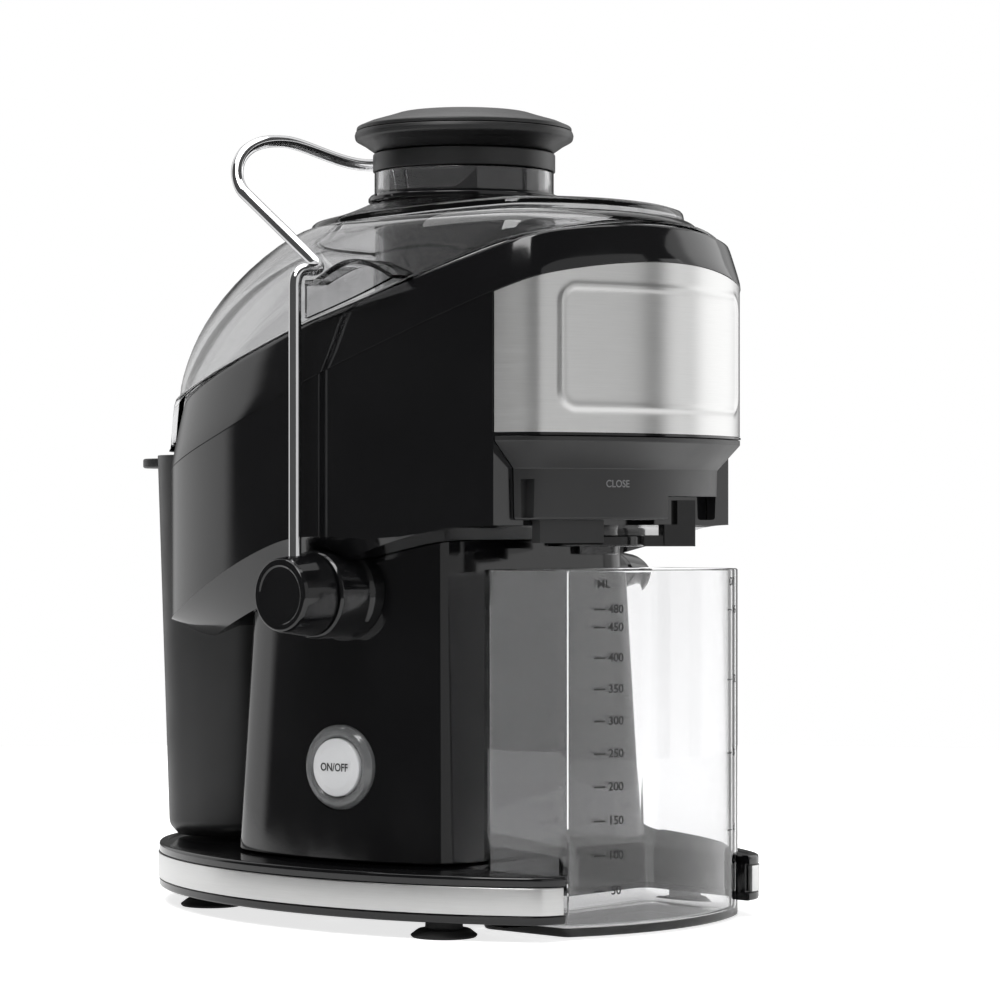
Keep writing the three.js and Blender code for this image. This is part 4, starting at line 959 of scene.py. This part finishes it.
def build_bail():
    wire = wire_along("bail_rod", bail_points(), WIRE_RADIUS)
    settle(wire, CHROME, "bail", "bail_wire")
    for side, sign in (("left", -1), ("right", 1)):
        knob = revolve(f"knob_{side}", fillet([
            (0, 99.6, 0), (10.6, 99.6, 0.3), (11.2, 100, 0.3), (13.4, 100, 0.9), (14, 98.4, 0.6),
            (15.8, 86, 0.8), (15.2, 84, 0.5), (5, 84, 0), (5, 68, 0), (0, 68, 0),
        ]))
        along_x(knob, sign)
        socket = cutting_rod(WIRE_RADIUS + GAP, PIVOT.z + 2, PIVOT.z + 30, 48)
        boolean(knob, "DIFFERENCE", move(socket, shift(sign * BAIL.leg_x, 0, 0)))
        settle(knob, GLOSS_BLACK, "bail", f"pivot_knob_{side}")
        boss = revolve(f"boss_{side}", fillet([
            (5.3, 83.5, 0), (5.3, 56, 0), (17.8, 56, 0), (17.8, 67.4, 1.2), (16.8, 69, 1), (16.6, 82.6, 0.8),
            (15.8, 83.5, 0.3), (5.3, 83.5, 0),
        ]))
        along_x(boss, sign)
        boolean(boss, "DIFFERENCE", motor_block(-GAP, DECK_Z, MOTOR_TOP_Z), bowl_block(GAP, -GAP))
        settle(boss, GLOSS_BLACK, "machine", f"pivot_boss_{side}")


# ---- juicing parts
def build_juicing_parts():
    bowl = revolve("inner_bowl", fillet([
        (17.5, 164, 0), (17.5, 156, 0.5), (60, 156, 2), (63, 159, 2), (65, 184, 0.6), (63, 184, 0.6),
        (61, 160.5, 2), (59, 158.4, 2), (19.5, 158.4, 0.5), (19.5, 164, 0.5), (17.5, 164, 0),
    ], 4))
    boolean(bowl, "DIFFERENCE", cutting_block(x=(-6, 6), y=(-70, -55), z=(158.4, 166)))
    settle(bowl, BOWL_SMOKE, "machine", "juice_bowl")
    turn_piece("coupling_cup", [
        (4.3, 164.5, 0), (4.3, 152, 0), (13, 152, 1), (15, 158, 1), (15, 164.5, 0.6), (4.3, 164.5, 0),
    ], 4, SATIN_BLACK, "rotor", "drive_coupling")
    turn_piece("hub_plate", [
        (4.3, 171, 0), (4.3, 165, 0), (22, 165, 0.6), (22, 168, 0.6), (12, 171, 1.5), (4.3, 171, 0),
    ], 4, SATIN_BLACK, "rotor", "basket_hub")
    turn_piece("lock_nut", [
        (0, 173, 0), (8, 173, 0), (8, 178, 0.8), (5, 181, 0.8), (0, 181.5, 0),
    ], 4, ZINC, "rotor", "basket_nut", segments=6)
    turn_piece("basket_edge", [
        (53.4, 203, 0), (53.4, 199.3, 0), (57, 199.3, 0.6), (57, 203, 0.8), (53.4, 203, 0),
    ], 4, SATIN_BLACK, "rotor", "basket_rim")
    build_grater()
    build_basket()


def build_grater():
    """The grater disc, with rings of small raised teeth."""
    disc = revolve("grater_plate", fillet([
        (12.4, 172.6, 0), (12.4, 171.4, 0), (22.4, 168.4, 1), (46, 168.4, 0), (46, 169.6, 0),
        (22.6, 169.6, 1), (12.4, 172.6, 0),
    ], 3))
    teeth = []
    foot_z, tip_z, half, pitch = 169.5, 171.1, 0.9, 6.5
    corners = [(-half, -half), (half, -half), (half, half), (-half, half)]
    for row, radius in enumerate(range(25, 45, 3)):
        count = int(2 * math.pi * radius / pitch)
        foot = [(radius + x, y, foot_z) for x, y in corners]
        for k in range(count):
            tooth = mesh_object(
                "tooth", foot + [(radius, 0.7, tip_z)],
                [(0, 3, 2, 1), (0, 1, 4), (1, 2, 4), (2, 3, 4), (3, 0, 4)],
            )
            angle = 2 * math.pi * (k + 0.5 * (row % 2)) / count
            teeth.append(move(tooth, Matrix.Rotation(angle, 4, "Z")))
    settle(join("grater_plate", [disc] + teeth), MESH_STEEL, "rotor", "grater_disc")


def build_basket():
    """The filter basket's wall: a thin cone of sheet with rows of slots through it."""
    rows = BASKET.rows
    rings = []
    for r in range(rows + 1):
        radius, z = np.array(BASKET.foot) + (np.array(BASKET.rim) - BASKET.foot) * r / rows
        angle = 2 * math.pi * (np.arange(BASKET.slots) + 0.5 * (r % 2)) / BASKET.slots
        rings.append(lift(radius * np.column_stack([np.cos(angle), np.sin(angle)]), z))
    wall = loft("basket_wall", rings, caps=None)
    with editing(wall.data) as work:
        slots = [face for face in work.faces if 0.17 < face.calc_center_median().z < 0.1975]
        bmesh.ops.inset_individual(work, faces=slots, thickness=BASKET.web * MM)
        bmesh.ops.delete(work, geom=slots, context="FACES")
    skin = wall.modifiers.new("sheet", "SOLIDIFY")
    skin.thickness = BASKET.sheet * MM
    skin.offset = 0
    settle(bake(wall), MESH_STEEL, "rotor", "filter_basket")


# ---- cup
def cup_bow(half_width, sagitta):
    """Radius of the arc over a chord of twice half_width that stands out by sagitta."""
    return (half_width * half_width + sagitta * sagitta) / (2 * sagitta)


def cup_outline(inset):
    half = CUP.half_width - inset
    rear, corner, front = CUP.rear_y - inset, CUP.corner_y + inset, CUP.front_y + inset
    radius = CUP.corner_radius - min(inset, 4)
    bow = cup_bow(half, corner - front)
    sweep = 0.985 * math.asin(half / bow)
    ahead = -math.pi / 2
    return np.vstack([
        arc(0, front + bow, bow, ahead, ahead + sweep, 40),
        [(half, corner + 1.6), (half, corner + 3.2)],
        bezier([(half, corner + 6), (half, rear - radius - 2)], 12),
        arc(half - radius, rear - radius, radius, 0, math.pi / 2, 14),
        bezier([(half - radius - 2, rear), (radius + 2 - half, rear)], 24),
        arc(radius - half, rear - radius, radius, math.pi / 2, math.pi, 14),
        bezier([(-half, rear - radius - 2), (-half, corner + 6)], 12),
        [(-half, corner + 3.2), (-half, corner + 1.6)],
        arc(0, front + bow, bow, ahead - sweep, ahead, 40)[:-1],
    ])


def build_cup():
    bottom, top, wall = CUP.bottom_z, CUP.top_z, CUP.wall
    inside = bottom + CUP.floor
    section = fillet([
        (3.5, bottom + 0.9, 0), (3.3, bottom, 0.3), (0, bottom, 1.6), (0, top, 0.8), (wall, top, 0.8),
        (wall, inside, 2.2), (6, inside, 0),
    ])
    cup = loft("clear_cup", [lift(cup_outline(inset), z) for inset, z in section], caps="ngon")
    settle(cup, CUP_CLEAR, "cup", "juice_cup")


# ---- printed words and scales
def text_marks(words, u, v, size=PRINT.size, width=None):
    """Words as flat (points, faces), centred at (u, v), and width wide where it is given."""
    curve = bpy.data.curves.new("words", "FONT")
    curve.body = words
    curve.size = size
    curve.align_x = "CENTER"
    curve.align_y = "CENTER"
    curve.resolution_u = 5
    curve.offset = PRINT.weight * size
    mesh = mesh_of_curve(curve)
    points = np.array([vertex.co for vertex in mesh.vertices])
    if width:
        points[:, 0] *= width / np.ptp(points[:, 0])
    return points + (u, v, 0), [tuple(polygon.vertices) for polygon in mesh.polygons]


def bar(u0, u1, v):
    """A level stroke as flat (points, faces), with steps short enough to follow a curved face."""
    steps = max(2, int((u1 - u0) / 1.5) + 1)
    edges = (v - PRINT.stroke / 2, v + PRINT.stroke / 2)
    points = np.array([(a, b, 0) for a in np.linspace(u0, u1, steps) for b in edges])
    return points, [(2 * i, 2 * i + 2, 2 * i + 3, 2 * i + 1) for i in range(steps - 1)]


def print_on(name, marks, place, above=PRINT.above):
    """Joins (points, faces) marks into one thin mesh. place(u, v) gives a point and its outward normal."""
    points, faces = [], []
    for flat, polygons in marks:
        start = len(points)
        for u, v in flat[:, :2]:
            spot, normal = place(u, v)
            points.append(np.array(spot) + np.array(normal) * above)
        faces.extend([tuple(i + start for i in polygon) for polygon in polygons])
    obj = mesh_object(name, points, faces)
    thick = obj.modifiers.new("ink", "SOLIDIFY")
    thick.thickness = PRINT.depth * MM
    return bake(obj)


def scale_height(millilitres):
    """Height of a mark on the cup. The marks come a little closer together towards the top."""
    above = millilitres - SCALES.first_ml
    return SCALES.first_z + SCALES.per_ml * above - SCALES.widening * above * above


def build_cup_scales():
    bow = cup_bow(CUP.half_width, CUP.corner_y - CUP.front_y)

    def place(u, v):
        angle = u / bow
        spot = (bow * math.sin(angle), CUP.front_y + bow - bow * math.cos(angle), v)
        return spot, (math.sin(angle), -math.cos(angle), 0)

    marks = []
    for volume in (50, 100, 150, 200, 250, 300, 350, 400, 450, 480):
        z = scale_height(volume)
        marks.append(bar(-40.5, -35.8, z))
        marks.append(text_marks(str(volume), -31.2, z))
    marks.append(text_marks("ML", -36.5, SCALES.title_z))
    for ounces in (4, 8, 12, 16):
        z = scale_height(SCALES.ml_per_ounce * ounces)
        marks.append(bar(36.5, 41.2, z))
        marks.append(text_marks(str(ounces), 44.6, z))
    marks.append(text_marks("OZ", 42, SCALES.title_z))
    settle(print_on("cup_scales", marks, place), INK, "cup", slot="satin_black")


def build_button_label():
    matrix = button_matrix()

    def place(u, v):
        spot = matrix @ Vector((v * MM, -u * MM, (BUTTON.face + 0.02) * MM))
        return tuple(c / MM for c in spot), (-0.99, -0.11, 0)

    label = print_on("button_label", [text_marks("ON/OFF", 0, 0, 4.2, 13)], place)
    settle(label, INK, "button", slot="satin_black")


def build_collar_label():
    outline = oval(BOWL_OVAL, NOSE.inset + 0.15, FINE_OUTLINE_POINTS)
    front = outline[outline[:, 1] < NOSE.rear_y]
    front = front[np.argsort(front[:, 0])]

    def place(u, v):
        slope = 2 * BOWL_OVAL.bow * u
        normal = np.array([slope, -1, 0]) / math.hypot(slope, 1)
        return (u, np.interp(u, front[:, 0], front[:, 1]), v), normal

    label = print_on("collar_label", [text_marks("CLOSE", -19.5, 166.3, 3.8, 11)], place, 0.12)
    settle(label, PALE_INK, "machine", slot="satin_black")


# ---- pulp container
def pulp_loft(name, centre_y, half_width, half_depth, section):
    """A piece with the pulp container's rounded outline, inset along its height by [inset, z] points."""
    rings = []
    for inset, z in section:
        outline = superellipse(centre_y, half_width - inset, half_depth - inset, PULP.power)
        rings.append(lift(outline, z))
    return loft(name, rings)


def build_pulp_container():
    bottom, top, wall = PULP.bottom_z, PULP.top_z, PULP.wall
    sizes = PULP.centre_y, PULP.half_width, PULP.half_depth
    shell = pulp_loft("pulp_bin", *sizes, fillet([
        (14, bottom, 0), (8, bottom, 1.5), (4.5, bottom + 4, 6), (0, top, 0.5), (wall, top, 0.5),
        (4.5 + wall, bottom + 5, 5), (12 + wall, bottom + wall, 0),
    ], 6))
    lip_section = fillet([(6, top - 5, 0), (0, top - 5, 1), (0, top - 1, 1), (6, top - 1, 0)], 4)
    lip = pulp_loft("lip", PULP.centre_y + PULP.half_depth - 2, 34, 20, lip_section)
    inside = pulp_loft("cutter", *sizes, [(wall, top + 3), (wall, top), (4.5 + wall, bottom + 5)])
    boolean(shell, "UNION", boolean(lip, "DIFFERENCE", inside))
    soften(shell, 0.5, 2, 50)
    settle(shell, SATIN_BLACK, "pulp_bin", "pulp_container")


# ---- nodes that keep their CAD mesh
KEPT = [
    (LAMINATION, 0.4, "motor_stator motor_rotor"),
    (COPPER, 1.5, "field_winding"),
    (COPPER, 0.3, "commutator"),
    (SATIN_BLACK, 0.3, "cooling_fan"),
    (SATIN_BLACK, 0.4, "brush_left brush_right"),
    (SATIN_BLACK, 0.5, "bearing_bracket_lower bearing_bracket_upper power_switch"),
    (ZINC, 0.3, "motor_shaft base_screw_1 base_screw_2 base_screw_3 base_screw_4"),
    (ZINC, 0.4, "lower_bearing upper_bearing"),
    (RUBBER, 0.4, "shaft_seal"),
    (RUBBER, 0.3, "cord_gland"),
]


def finish_kept_nodes():
    """Gives the CAD nodes that stay their material and slightly rounded edges."""
    for material, width, names in KEPT:
        for name in names.split():
            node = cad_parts[name]
            node.data.materials.clear()
            node.data.materials.append(material)
            node.modifiers.new("weld", "WELD").merge_threshold = 1e-6
            bevel(node, width, 2, 40)


# ---- stage, light and camera
def eased(tree, source, between, values):
    """Eases from the first of values to the second as source goes through between."""
    limits = {"From Min": between[0], "From Max": between[1], "To Min": values[0], "To Max": values[1]}
    node = add_node(tree, "MapRange", {"Value": source, **limits}, interpolation_type="SMOOTHSTEP")
    return node.outputs["Result"]


def seen_directly(tree, otherwise, seen):
    """A value that is seen for what the eye meets, straight or through clear parts, else otherwise."""
    path = add_node(tree, "LightPath", {})
    rays = {0: path.outputs["Is Camera Ray"], 1: path.outputs["Is Transmission Ray"]}
    either = add_node(tree, "Math", rays, operation="MAXIMUM")
    limits = {"Value": either.outputs["Value"], "To Min": otherwise, "To Max": seen}
    return add_node(tree, "MapRange", limits).outputs["Result"]


def build_floor():
    mesh = bpy.data.meshes.new("floor")
    with editing(mesh) as work:
        bmesh.ops.create_circle(work, cap_ends=True, segments=96, radius=1.0)
    floor = add_object("floor", mesh)
    material, tree, shader = new_material("floor_white")
    shader.inputs["Base Color"].default_value = (0.9, 0.9, 0.9, 1)
    shader.inputs["Roughness"].default_value = 0.6
    shader.inputs["Emission Color"].default_value = (1, 1, 1, 1)
    tree.links.new(seen_directly(tree, 0.25, 0.75), shader.inputs["Emission Strength"])
    floor.data.materials.append(material)


def build_room():
    """A room that is seen as plain white. To the pieces it is dim, with a bright ring behind the object."""
    world = bpy.data.worlds.new("studio")
    bpy.context.scene.world = world
    world.use_nodes = True
    tree = world.node_tree
    direction = add_node(tree, "TexCoord", {}).outputs["Generated"]
    towards = add_node(tree, "VectorMath", {0: direction, 1: FORWARD}, operation="DOT_PRODUCT")
    glow = eased(tree, towards.outputs["Value"], (0.33, 0.43), (0.08, 0.85))
    dimmed = eased(tree, towards.outputs["Value"], (0.84, 0.95), (1.0, 0.12))
    strength = add_node(tree, "Math", {0: glow, 1: dimmed}, operation="MULTIPLY")
    room = tree.nodes["Background"]
    room.inputs["Color"].default_value = (1, 1, 1, 1)
    tree.links.new(strength.outputs["Value"], room.inputs["Strength"])
    seen = add_node(tree, "Background", {"Color": (1, 1, 1, 1), "Strength": 1.0})
    sides = {0: seen_directly(tree, 0.0, 1.0), 1: room.outputs["Background"], 2: seen.outputs["Background"]}
    mix = add_node(tree, "MixShader", sides)
    tree.links.new(mix.outputs["Shader"], tree.nodes["World Output"].inputs["Surface"])


def build_lights():
    """Rectangular lights that face the middle of the object, sized and placed in metres."""
    for name, box in LIGHTS.items():
        light = bpy.data.lights.new(name, "AREA")
        light.shape = "RECTANGLE"
        light.size, light.size_y = box.size
        light.energy = box.power
        obj = add_object(name, light)
        obj.location = box.place
        obj.rotation_euler = (LIGHT_TARGET - Vector(box.place)).to_track_quat("-Z", "Y").to_euler()
        obj.visible_camera = False
        obj.visible_transmission = False


def build_camera():
    """A level camera in front of the left-hand front corner, aimed a little past the machine axis."""
    side = Vector((FORWARD.y, -FORWARD.x, 0))
    data = bpy.data.cameras.new("camera")
    data.sensor_width = 36
    data.lens = CAMERA.lens
    data.shift_y = CAMERA.shift_y
    data.clip_end = 100
    camera = add_object("camera", data)
    axis = Vector((0, -MIDDLE_Y * MM, CAMERA.eye_z))
    camera.location = axis - FORWARD * CAMERA.distance + side * CAMERA.side
    camera.rotation_euler = FORWARD.to_track_quat("-Z", "Y").to_euler()
    bpy.context.scene.camera = camera


build_camera()
build_base()
build_motor_housing()
build_bowl_housing()
build_front_panel()
build_spout_collar()
build_spout()
build_lid_frame()
build_lid()
build_chute()
build_pusher()
build_bail()
build_juicing_parts()
build_cup()
build_cup_scales()
build_button_label()
build_collar_label()
build_pulp_container()
finish_kept_nodes()
build_floor()
build_room()
build_lights()
bpy.context.scene.view_settings.view_transform = "Standard"
